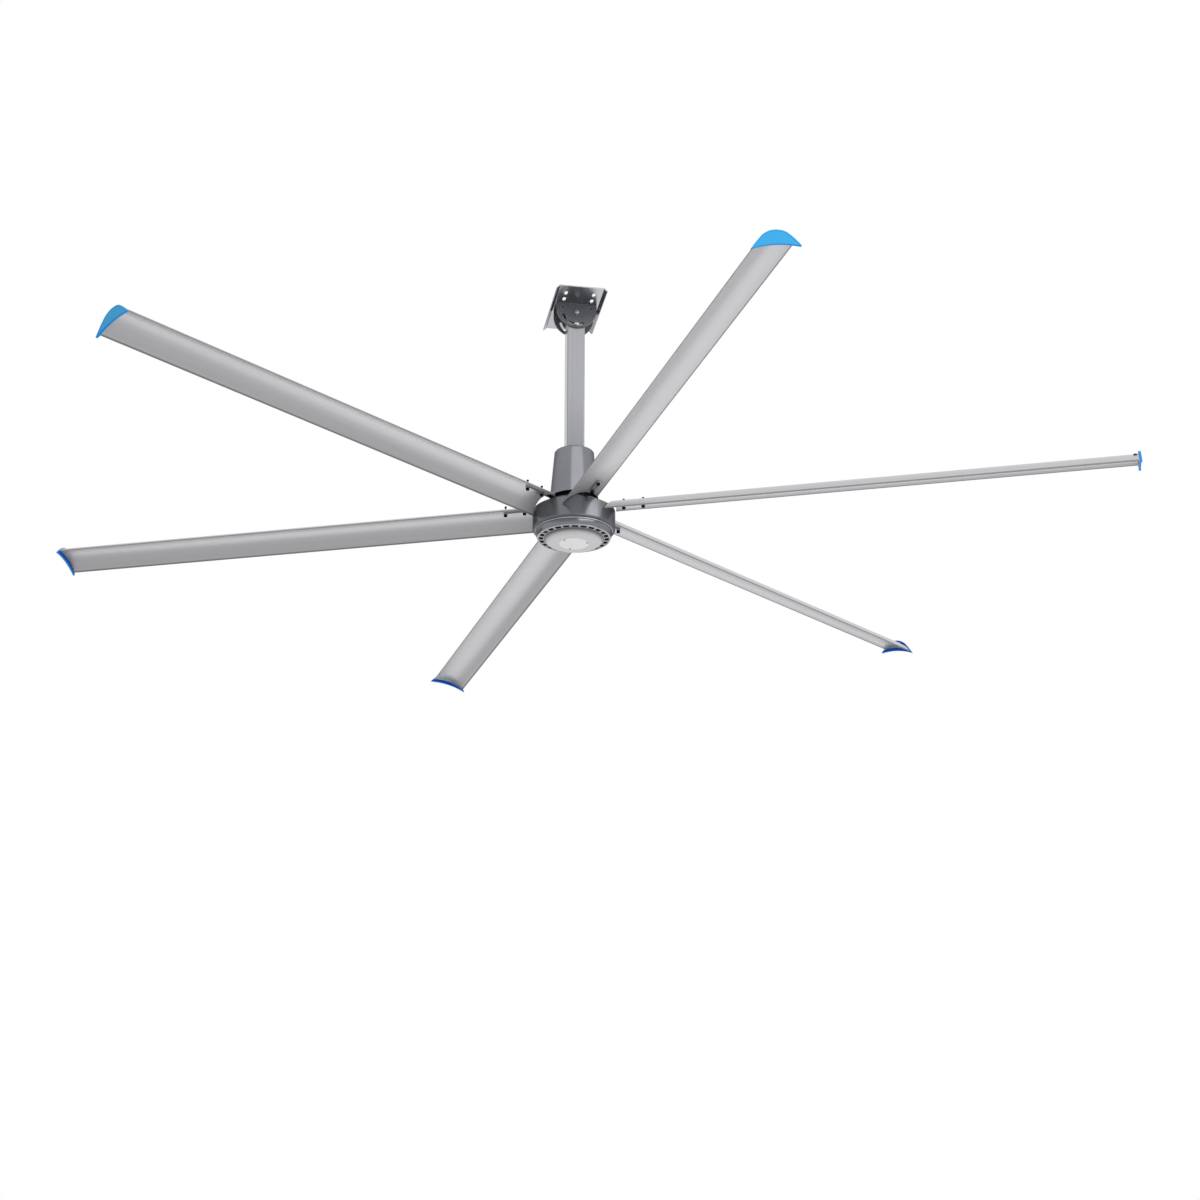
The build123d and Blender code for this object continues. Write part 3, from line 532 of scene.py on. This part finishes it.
# The tapered ring: a rounded bead, a groove, the taper and a half-round rim at its foot
BEAD_RADIUS, BEAD_HEIGHT, BEAD_ROUND = 173.0, 7.0, 1.8
GROOVE_RADIUS, GROOVE_HEIGHT, GROOVE_LEAN = 168.5, 3.0, 0.4
RING_TOP_RADIUS, RING_BOTTOM_RADIUS, RING_BOTTOM = 171.5, 162.5, -99.0
RIM_DROP, RIM_STEPS = 4.5, 12
RING_INNER_TOP, RING_LIP = 164.0, 2.5
LEDGE_HEIGHT, LEDGE_THICKNESS = 3.0, 3.0
# Above the groove, faces farther out than this are the bead
BEAD_INSIDE = 167.0
VENT_OUTER_RADIUS = 156.5


def ring_under_drum():
    """The ring, with its bead and rim marked for the painted highlight."""
    bead_low = DRUM_FLOOR - BEAD_HEIGHT
    taper_top = bead_low - GROOVE_HEIGHT
    bead, _ = arc((BEAD_RADIUS - BEAD_ROUND, DRUM_FLOOR), (BEAD_RADIUS, DRUM_FLOOR - BEAD_HEIGHT / 2),
                  (BEAD_RADIUS - BEAD_ROUND, bead_low))
    half = (RING_BOTTOM_RADIUS - VENT_OUTER_RADIUS) / 2
    rim_start = RING_BOTTOM - RIM_DROP + half
    rim, _ = arc((RING_BOTTOM_RADIUS, rim_start), (VENT_OUTER_RADIUS + half, RING_BOTTOM - RIM_DROP),
                 (VENT_OUTER_RADIUS, rim_start), RIM_STEPS)
    ledge = RING_BOTTOM + LEDGE_HEIGHT
    lip = RING_BOTTOM_RADIUS - RING_LIP
    outline = [(RING_INNER_TOP, DRUM_FLOOR)] + bead + [
        (BEAD_RADIUS - BEAD_ROUND, bead_low), (GROOVE_RADIUS, bead_low - GROOVE_LEAN),
        (GROOVE_RADIUS, taper_top + GROOVE_LEAN), (RING_TOP_RADIUS, taper_top),
        (RING_BOTTOM_RADIUS, RING_BOTTOM)] + rim + [
        (VENT_OUTER_RADIUS, rim_start), (VENT_OUTER_RADIUS, ledge), (lip, ledge),
        (lip, ledge + LEDGE_THICKNESS), (RING_INNER_TOP, taper_top)]
    bm = turned(outline)
    for face in bm.faces:
        height = face.calc_center_median().z / MM
        radius = hypot(*face.calc_center_median().xy) / MM
        is_bead = height > bead_low and radius > BEAD_INSIDE
        is_rim = height < rim_start and radius > VENT_OUTER_RADIUS
        face.material_index = int(is_bead or is_rim)
    return placed(bm, at_level())


COVER_RADIUS, COVER_RIM = 133.0, -104.0
# The ring is turned in twelve steps for each slot, and nine of them are open
VENT_COUNT, VENT_STEPS, VENT_OPEN_STEPS = 24, 12, 9
VENT_MARGIN, VENT_DEPTH = 2.5, 3.0
VENT_EDGE, VENT_GAP = -102.0, 0.1
VENT_INNER_RADIUS = COVER_RADIUS - 4.0


def slotted_ring():
    """The slightly sloped ring: radial slots are cut from a spun sheet, which then gets its thickness."""
    inner, outer = COVER_RADIUS + VENT_MARGIN, VENT_OUTER_RADIUS - VENT_MARGIN
    slope = (VENT_EDGE - COVER_RIM) / (VENT_OUTER_RADIUS - COVER_RADIUS)
    outer_edge = VENT_OUTER_RADIUS - VENT_GAP
    radii = [VENT_INNER_RADIUS, COVER_RADIUS, inner, (inner + outer) / 2, outer, outer_edge]
    outline = [(r, COVER_RIM + max(r - COVER_RADIUS, 0) * slope) for r in radii]
    bm = turned(outline, VENT_COUNT * VENT_STEPS, closed=False)
    step = 2 * pi / (VENT_COUNT * VENT_STEPS)
    slots = []
    for face in bm.faces:
        middle = face.calc_center_median()
        step_of_slot = int((atan2(middle.y, middle.x) % (2 * pi)) / step) % VENT_STEPS
        if inner < hypot(middle.x, middle.y) / MM < outer and step_of_slot < VENT_OPEN_STEPS:
            slots.append(face)
    bmesh.ops.delete(bm, geom=slots, context="FACES")
    if sum(face.normal.z for face in bm.faces) > 0:
        bmesh.ops.reverse_faces(bm, faces=bm.faces)
    bmesh.ops.solidify(bm, geom=bm.faces[:], thickness=VENT_DEPTH * MM)
    half_slot = Matrix.Rotation(-VENT_OPEN_STEPS * step / 2, 4, "Z")
    return placed(bm, at_level() @ turn_about_z(FIRST_BLADE_ANGLE) @ half_slot)


COVER_FLAT_RADIUS, COVER_FLAT = 104.0, -125.0
COVER_WALL, COVER_BULGE, COVER_GAP, COVER_LIP = 2.7, 3.6, 0.2, 0.6
DISC_RADIUS, DISC_THICKNESS = 66.0, 1.5


def dome_cover():
    """The bottom cover: a flat middle and a bulging skirt up to the vents."""
    run, rise = COVER_RADIUS - COVER_FLAT_RADIUS, COVER_RIM - COVER_FLAT
    slant = hypot(run, rise)
    bulge = ((COVER_RADIUS + COVER_FLAT_RADIUS) / 2 + COVER_BULGE * rise / slant,
             (COVER_RIM + COVER_FLAT) / 2 - COVER_BULGE * run / slant)
    edge = COVER_RADIUS - COVER_GAP
    dome, _ = arc((COVER_FLAT_RADIUS, COVER_FLAT), bulge, (edge, COVER_RIM), DOME_ARC_STEPS)
    outline = [(0, COVER_FLAT + COVER_WALL), (0, COVER_FLAT), (DISC_RADIUS, COVER_FLAT)] + dome + [
        (edge, COVER_RIM), (edge - COVER_WALL, COVER_RIM + COVER_LIP),
        (COVER_FLAT_RADIUS, COVER_FLAT + COVER_WALL)]
    return placed(turned(outline), at_level())


def centre_disc():
    """The pale disc under the cover's flat, with its lower edge broken."""
    low = COVER_FLAT - DISC_THICKNESS
    outline = [(0, COVER_FLAT), (0, low), (DISC_RADIUS - SMALL_LIP, low), (DISC_RADIUS, low + SMALL_LIP),
               (DISC_RADIUS, COVER_FLAT)]
    return placed(turned(outline), at_level())


piece("neck_shroud", neck_shroud(), [neck_coat], "mast", ["neck_cover"])
piece("drum_cup", drum_cup(), [drum_coat], "rotor", ["drum_shell"])
piece("lid", lid(), [drum_coat], "rotor", ["drum_lid"])
piece("ring_under_drum", ring_under_drum(), [ring_coat, trim_highlight_coat], "rotor", ["lower_ring"])
piece("slotted_ring", slotted_ring(), [vent_coat], "rotor", ["vent_ring"])
piece("dome_cover", dome_cover(), [cover_coat_and_shade], "rotor", ["bottom_cover"])
piece("disc", centre_disc(), [disc_coat], "rotor", ["centre_disc"])


# Circles of screws: how many, the circle's radius, and the radius of a head
LID_SCREWS = (12, 171.0, 4.2)
COVER_SCREWS = (3, 60.0, 3.6)
NECK_SCREWS = (4, 52.0, 4.5)
LID_SCREW_TURN = 15.0
# A head's height, as a share of its radius
HEAD_HEIGHT_SHARE = 0.6


def screws_around(screws, height, start=0.0, facing_down=False):
    """Button-head screws in a circle about Z, above the blade level."""
    count, circle, radius = screws
    turn = Matrix.Rotation(pi if facing_down else 0, 4, "X")
    return joined([
        placed(button_screw(radius, HEAD_HEIGHT_SHARE * radius),
               turn_about_z(start + i * 360 / count) @ at_level(circle, 0, height) @ turn)
        for i in range(count)])


HUB_BOLT_CIRCLE, HUB_PLATE_TOP = 100.0, 45.4
HUB_BOLT_RADIUS, HUB_BOLT_LENGTH = 5.0, 19.4
HUB_HEAD_ACROSS, HUB_HEAD_HEIGHT = 16.0, 6.5
HALF_BLADE_STEP = 180 / BLADE_COUNT


def hub_bolt(angle):
    """One bolt of the hub plate, midway between a blade's angle and the next."""
    head = hexagon(HUB_HEAD_ACROSS, 0, HUB_HEAD_HEIGHT)
    shank = round_bar(HUB_BOLT_RADIUS, -HUB_BOLT_LENGTH, 0)
    place = turn_about_z(angle + HALF_BLADE_STEP) @ at_level(HUB_BOLT_CIRCLE, 0, HUB_PLATE_TOP)
    return placed(joined([head, shank]), place)


piece("hub_bolt_heads", joined([hub_bolt(angle) for angle in BLADE_ANGLES]), [zinc_plate], "rotor",
      ["hub_bolts"])
piece("lid_screws", screws_around(LID_SCREWS, DRUM_RIM, FIRST_BLADE_ANGLE + LID_SCREW_TURN), [black_oxide],
      "rotor")
piece("cover_screws", screws_around(COVER_SCREWS, COVER_FLAT - DISC_THICKNESS, FIRST_BLADE_ANGLE, True),
      [black_oxide], "rotor")
piece("neck_screws", screws_around(NECK_SCREWS, NECK_TOP), [black_oxide], "mast")


# Blades

ROOT_RADIUS = 187.0
WINGLET_THICKNESS, TIP_PLATE_THICKNESS = 9.5, 3.0
BLADE_END = FAN_RADIUS - WINGLET_THICKNESS - TIP_PLATE_THICKNESS
BLADE_SKIN = 1.6
WEB_THICKNESS, WEB_SETBACK = 2.0, 0.5
LIP_ROUND, LIP_STEPS = 0.9, 3
# How far in from each edge of the blade the band of painted shade reaches
EDGE_SHADE_BAND = 4.5
TRAILING_TOP, TRAILING_BOTTOM = (-102.0, -12.0), (-100.4, -14.2)
LEADING_TOP, LEADING_BOTTOM = (55.0, 36.4), (54.2, 33.8)
TOP_FLANK, TOP_CROWN = (-60.0, 33.6), (-3.0, 58.0)
UNDER_FLANK, UNDER_CROWN = (-50.0, 28.8), (7.0, 43.5)
WEB_LINES = (-6.5, 27.5)
BACK_STEPS, TOP_FRONT_STEPS, UNDER_FRONT_STEPS = 16, 12, 10


def blade_surfaces():
    """The blade's section: its top and its underside, each from the trailing edge to the leading edge."""
    rise, heading = arc(TRAILING_TOP, TOP_FLANK, TOP_CROWN, BACK_STEPS)
    fall, _ = tangent_arc(TOP_CROWN, LEADING_TOP, heading, TOP_FRONT_STEPS)
    under_back, heading = arc(TRAILING_BOTTOM, UNDER_FLANK, UNDER_CROWN, BACK_STEPS)
    under_front, _ = tangent_arc(UNDER_CROWN, LEADING_BOTTOM, heading, UNDER_FRONT_STEPS)
    return rise + fall + [LEADING_TOP], under_back + under_front + [LEADING_BOTTOM]


def root_at(t):
    """Where the root lies along the blade, so that it clears the drum all round."""
    return (ROOT_RADIUS ** 2 - t ** 2) ** 0.5


def height_at(points, t):
    """Height of a surface of the section at t."""
    for (t0, z0), (t1, z1) in zip(points, points[1:]):
        if t0 <= t <= t1:
            return z0 + (z1 - z0) * (t - t0) / (t1 - t0)


def blade():
    """The blade along +X: a skin drawn along its section, with two webs inside."""
    bm = bmesh.new()
    top, underside = blade_surfaces()
    ring = [bm.verts.new((root_at(t) * MM, t * MM, z * MM)) for t, z in top + underside[::-1]]
    edges = [bm.edges.new(pair) for pair in zip(ring, ring[1:] + ring[:1])]
    drawn = bmesh.ops.extrude_edge_only(bm, edges=edges)
    for vert in drawn["geom"]:
        if isinstance(vert, bmesh.types.BMVert):
            vert.co.x = BLADE_END * MM
    bm.normal_update()
    corners = [e for e in bm.edges if len(e.link_faces) == 2 and e.calc_face_angle(0) > SHARP_ANGLE]
    bmesh.ops.bevel(bm, geom=corners, offset=LIP_ROUND * MM, affect="EDGES", segments=LIP_STEPS, profile=0.5,
                    material=-1)
    bm.normal_update()
    highest = max(bm.faces, key=lambda face: face.calc_center_median().z)
    if highest.normal.z < 0:
        bmesh.ops.reverse_faces(bm, faces=bm.faces)
    bmesh.ops.solidify(bm, geom=bm.faces[:], thickness=BLADE_SKIN * MM)
    for web in WEB_LINES:
        high, low = height_at(top, web) - BLADE_SKIN / 2, height_at(underside, web) + BLADE_SKIN / 2
        start = root_at(web) + WEB_SETBACK
        made = bmesh.ops.create_cube(bm, size=MM)
        bmesh.ops.scale(bm, verts=made["verts"], vec=(BLADE_END - start, WEB_THICKNESS, high - low))
        bmesh.ops.translate(bm, verts=made["verts"],
                            vec=((BLADE_END + start) / 2 * MM, web * MM, (high + low) / 2 * MM))
    section = bm.loops.layers.uv.new("section")
    for face in bm.faces:
        t = face.calc_center_median().y / MM
        # Faces near either edge take the painted edge shade
        is_edge = t < TRAILING_TOP[0] + EDGE_SHADE_BAND or t > LEADING_TOP[0] - EDGE_SHADE_BAND
        face.material_index = int(is_edge)
        for loop in face.loops:
            loop[section].uv = (loop.vert.co.x, loop.vert.co.y)
    return bm


WINGLET_TAIL, WINGLET_TAIL_LOW = (-111.0, -22.0), (-109.8, -23.6)
WINGLET_FLANK, WINGLET_SHOULDER = (-93.5, 5.2), (-75.0, 31.0)
WINGLET_KNEE, WINGLET_CROWN, WINGLET_BROW = (-42.0, 58.5), (5.7, 67.5), (30.0, 59.0)
WINGLET_NOSE, WINGLET_NOSE_LOW = (76.0, 20.4), (75.0, 18.8)
WINGLET_BELLY = (-30.0, 7.2)
FIN_ARC_STEPS, BELLY_STEPS = 8, 24
WINGLET_RECESS = 0.8
# The recess is the outline drawn in about a point of the fin, and its floor a little more
RECESS_MIDDLE = (-15.0, 38.0)
RECESS_SHRINK, RECESS_FLOOR_SHRINK = (1.0, 0.9, 0.86), (1.0, 0.99, 0.98)
# Faces turned at least this far along X are the fin's outer face or its back
FACING_ALONG = 0.8


def winglet():
    """The fin at the end of the blade along +X: a moulded crescent, shallowly recessed in its outer face."""
    points, heading = arc(WINGLET_TAIL, WINGLET_FLANK, WINGLET_SHOULDER, FIN_ARC_STEPS)
    start = WINGLET_SHOULDER
    for end in (WINGLET_KNEE, WINGLET_CROWN, WINGLET_BROW, WINGLET_NOSE):
        stretch, heading = tangent_arc(start, end, heading, FIN_ARC_STEPS)
        points += stretch
        start = end
    belly, _ = arc(WINGLET_NOSE_LOW, WINGLET_BELLY, WINGLET_TAIL_LOW, BELLY_STEPS)
    points += [WINGLET_NOSE] + belly + [WINGLET_TAIL_LOW]
    bm = bmesh.new()
    inner = (FAN_RADIUS - WINGLET_THICKNESS) * MM
    face = bm.faces.new([bm.verts.new((inner, t * MM, z * MM)) for t, z in points])
    drawn = bmesh.ops.extrude_face_region(bm, geom=[face])
    outer_verts = [v for v in drawn["geom"] if isinstance(v, bmesh.types.BMVert)]
    bmesh.ops.translate(bm, verts=outer_verts, vec=(WINGLET_THICKNESS * MM, 0, 0))
    bmesh.ops.recalc_face_normals(bm, faces=bm.faces)
    rims = [e for e in bm.edges if abs(e.verts[0].co.x - e.verts[1].co.x) < SAME_PLACE]
    bmesh.ops.bevel(bm, geom=rims, offset=LIP_ROUND * MM, affect="EDGES", segments=LIP_STEPS, profile=0.5,
                    material=-1)
    bm.normal_update()
    outer = max(bm.faces, key=lambda f: f.calc_area() * f.normal.x)
    middle = Matrix.Translation((0, -RECESS_MIDDLE[0] * MM, -RECESS_MIDDLE[1] * MM))
    for shrink, depth in ((RECESS_SHRINK, 0.0), (RECESS_FLOOR_SHRINK, WINGLET_RECESS)):
        drawn = bmesh.ops.extrude_face_region(bm, geom=[outer] + outer.edges[:])
        outer = [f for f in drawn["geom"] if isinstance(f, bmesh.types.BMFace)][0]
        bmesh.ops.scale(bm, vec=shrink, space=middle, verts=outer.verts[:])
        bmesh.ops.translate(bm, verts=outer.verts[:], vec=(-depth * MM, 0, 0))
    bm.normal_update()
    # Painted light on the outer face, painted shade on the back
    for face in bm.faces:
        if face.normal.x > FACING_ALONG:
            face.material_index = 1
        elif face.normal.x < -FACING_ALONG:
            face.material_index = 2
    return bm


# Blade fasteners

BOLT_RADII, BOLT_LINE = (221.5, 309.0), 15.4
BAR_LOW, BOLT_HEAD_DEPTH, BOLT_HEAD_ACROSS = 34.2, 8.4, 14.2
FLANGE_DEPTH, FLANGE_RADIUS, FLANGE_LOW_RADIUS, FLANGE_EDGE = 2.4, 8.0, 7.4, 0.9
STUD_LOW, STUD_RADIUS, STUD_PITCH = 49.0, 3.4, 1.25
CAP_NUT_LOW, CAP_NUT_HEIGHT, CAP_NUT_ACROSS = 69.5, 6.0, 9.8
# The cap nut's dome: radii, and depths below its top
CAP_FOOT, CAP_SIDE, CAP_TIP_RADIUS = (3.9, 1.7), (2.8, 0.4), 0.01
CAP_HEX_DEPTH = 1.6


def blade_bolt():
    """One blade bolt on Z: a flanged head under the bar, a threaded stud above the blade and a cap nut."""
    flange_low = BAR_LOW - FLANGE_DEPTH
    flange = turned([
        (0, flange_low), (FLANGE_LOW_RADIUS, flange_low), (FLANGE_RADIUS, BAR_LOW - FLANGE_EDGE),
        (FLANGE_RADIUS, BAR_LOW), (0, BAR_LOW)], SMALL_TURN_STEPS, closed=False)
    top = CAP_NUT_LOW + CAP_NUT_HEIGHT
    foot, side = [(r, top - depth) for r, depth in (CAP_FOOT, CAP_SIDE)]
    dome, _ = arc(foot, side, (CAP_TIP_RADIUS, top), SMALL_ARC_STEPS)
    return joined([
        hexagon(BOLT_HEAD_ACROSS, BAR_LOW - BOLT_HEAD_DEPTH, flange_low), flange,
        round_bar(STUD_RADIUS, BAR_LOW, STUD_LOW),
        threaded_rod(STUD_RADIUS, STUD_LOW, CAP_NUT_LOW, STUD_PITCH),
        hexagon(CAP_NUT_ACROSS, CAP_NUT_LOW, top - CAP_HEX_DEPTH),
        turned([(0, foot[1])] + dome + [(0, top)], ROD_STEPS, closed=False)])


TIP_SCREW_RADIUS, TIP_SCREW_LINE = 2416.0, -60.0
TIP_HEAD_RADIUS, TIP_HEAD_HEIGHT = 8.0, 5.0


def tip_screw():
    """A black screw on the blade's upper flank, beside the tip plate, standing square to the skin.

    Its large black head is painted shade, standing in for the shade of a hole there.
    """
    top, _ = blade_surfaces()
    before, here, after = [height_at(top, TIP_SCREW_LINE + step) for step in (-1, 0, 1)]
    lean = Matrix.Rotation(atan2(after - before, 2), 4, "X")
    place = Matrix.Translation((TIP_SCREW_RADIUS * MM, TIP_SCREW_LINE * MM, here * MM))
    return placed(button_screw(TIP_HEAD_RADIUS, TIP_HEAD_HEIGHT), place @ lean)


for number, angle in enumerate(BLADE_ANGLES, 1):
    turn = at_level() @ turn_about_z(angle)
    piece(f"blade_skin_{number}", placed(blade(), turn), [blade_finish, blade_edge_shade], "rotor",
          [f"blade_{number}"])
    piece(f"winglet_fin_{number}", placed(winglet(), turn), [winglet_edge, winglet_face_painted_light, winglet_back_painted_shade],
          "rotor", [f"winglet_{number}"])
piece("blade_bolts_dressed", joined([
    placed(blade_bolt(), turn_about_z(angle) @ at_level(r, BOLT_LINE))
    for angle in BLADE_ANGLES for r in BOLT_RADII]),
    [black_oxide], "rotor", ["blade_bolts", "blade_nuts"])
# Their black heads are painted shade for a shaded hole near each tip
piece("tip_screws", joined([
    placed(tip_screw(), at_level() @ turn_about_z(angle)) for angle in BLADE_ANGLES]),
    [black_oxide], "rotor")


# Light, backdrop and camera, in metres and degrees, with the lens in millimetres

WHITE = (1.0, 1.0, 1.0, 1.0)
WORLD_LEVEL = 0.7
FLOOR_LEVEL = -12.0
FLOOR_HALF_WIDTH = 60.0

# The camera stands low in front and a little left, where the photograph was taken from. Seen from the hub
# it is turned this many degrees from -Y.
CAMERA_SIDE = 9.3
CAMERA_PLACE = (-1.3999, -8.5488, -4.7616)
CAMERA_HEADING = 10.06
CAMERA_PITCH = 21.0
LENS_LENGTH, SENSOR_WIDTH = 63.97, 36.0


def floor():
    """A plain pale floor far below, which takes the fan's shadow."""
    bm = bmesh.new()
    bmesh.ops.create_grid(bm, x_segments=1, y_segments=1, size=FLOOR_HALF_WIDTH)
    bmesh.ops.translate(bm, verts=bm.verts, vec=(0, 0, FLOOR_LEVEL))
    mesh = bpy.data.meshes.new("floor")
    bm.to_mesh(mesh)
    bm.free()
    made = bpy.data.objects.new("floor", mesh)
    bpy.context.scene.collection.objects.link(made)
    material, tree = new_material("matt white paint on the floor")
    shader = add_node(tree, "ShaderNodeBsdfPrincipled", {"Base Color": linear("#e0e0e0"), "Roughness": 0.9})
    add_node(tree, "ShaderNodeOutputMaterial", {"Surface": shader.outputs["BSDF"]})
    mesh.materials.append(material)


def world_light(level):
    """An even white world at the light's level, and pure white to the camera, to gloss and through glass."""
    world = bpy.data.worlds.new("studio")
    bpy.context.scene.world = world
    world.use_nodes = True
    tree = world.node_tree
    tree.nodes.clear()
    rays = add_node(tree, "ShaderNodeLightPath").outputs
    fill = add_node(tree, "ShaderNodeBackground", {"Color": WHITE, "Strength": level})
    seen = add_node(tree, "ShaderNodeBackground", {"Color": WHITE, "Strength": 1.0})
    mirrored = add_node(tree, "ShaderNodeMath", {0: rays["Is Camera Ray"], 1: rays["Is Glossy Ray"]},
                        operation="MAXIMUM").outputs[0]
    clear = add_node(tree, "ShaderNodeMath", {0: mirrored, 1: rays["Is Transmission Ray"]},
                     operation="MAXIMUM").outputs[0]
    mix = add_node(tree, "ShaderNodeMixShader",
                   {"Fac": clear, 1: fill.outputs["Background"], 2: seen.outputs["Background"]})
    add_node(tree, "ShaderNodeOutputWorld", {"Surface": mix.outputs["Shader"]})


def soft_lamp(name, azimuth, elevation, distance, size, radiance):
    """A rectangular panel that faces the hub. Its azimuth is counted to the right of the camera."""
    lamp = bpy.data.lights.new(name, "AREA")
    lamp.shape = "RECTANGLE"
    lamp.size, lamp.size_y = size
    lamp.energy = radiance * pi * size[0] * size[1]
    made = bpy.data.objects.new(name, lamp)
    turn, lift = radians(azimuth - 90 - CAMERA_SIDE), radians(elevation)
    arm = Vector((cos(turn) * cos(lift), sin(turn) * cos(lift), sin(lift)))
    made.location = Vector((0, 0, BLADE_LEVEL)) + distance * arm
    made.rotation_euler = (-arm).to_track_quat("-Z", "Y").to_euler()
    bpy.context.scene.collection.objects.link(made)


floor()
world_light(WORLD_LEVEL)
# Each panel's name, azimuth, elevation, distance, size and radiance, where 1 is as bright as white
soft_lamp("panel behind and below", 180.0, -38.0, 12.0, (12.0, 8.0), 1.0)
soft_lamp("panel above the neck", 17.0, 38.0, 8.0, (8.0, 2.6), 0.9)
soft_lamp("panel to the right", 52.0, 22.0, 9.0, (6.2, 2.6), 2.4)
soft_lamp("panel low on the right", 38.0, -21.0, 10.0, (8.5, 2.4), 2.6)

lens = bpy.data.cameras.new("camera")
lens.sensor_width = SENSOR_WIDTH
lens.lens = LENS_LENGTH
camera = bpy.data.objects.new("camera", lens)
camera.location = CAMERA_PLACE
camera.rotation_euler = (radians(90 + CAMERA_PITCH), 0, radians(-CAMERA_HEADING))
bpy.context.scene.collection.objects.link(camera)
bpy.context.scene.camera = camera
bpy.context.scene.view_settings.view_transform = "Standard"
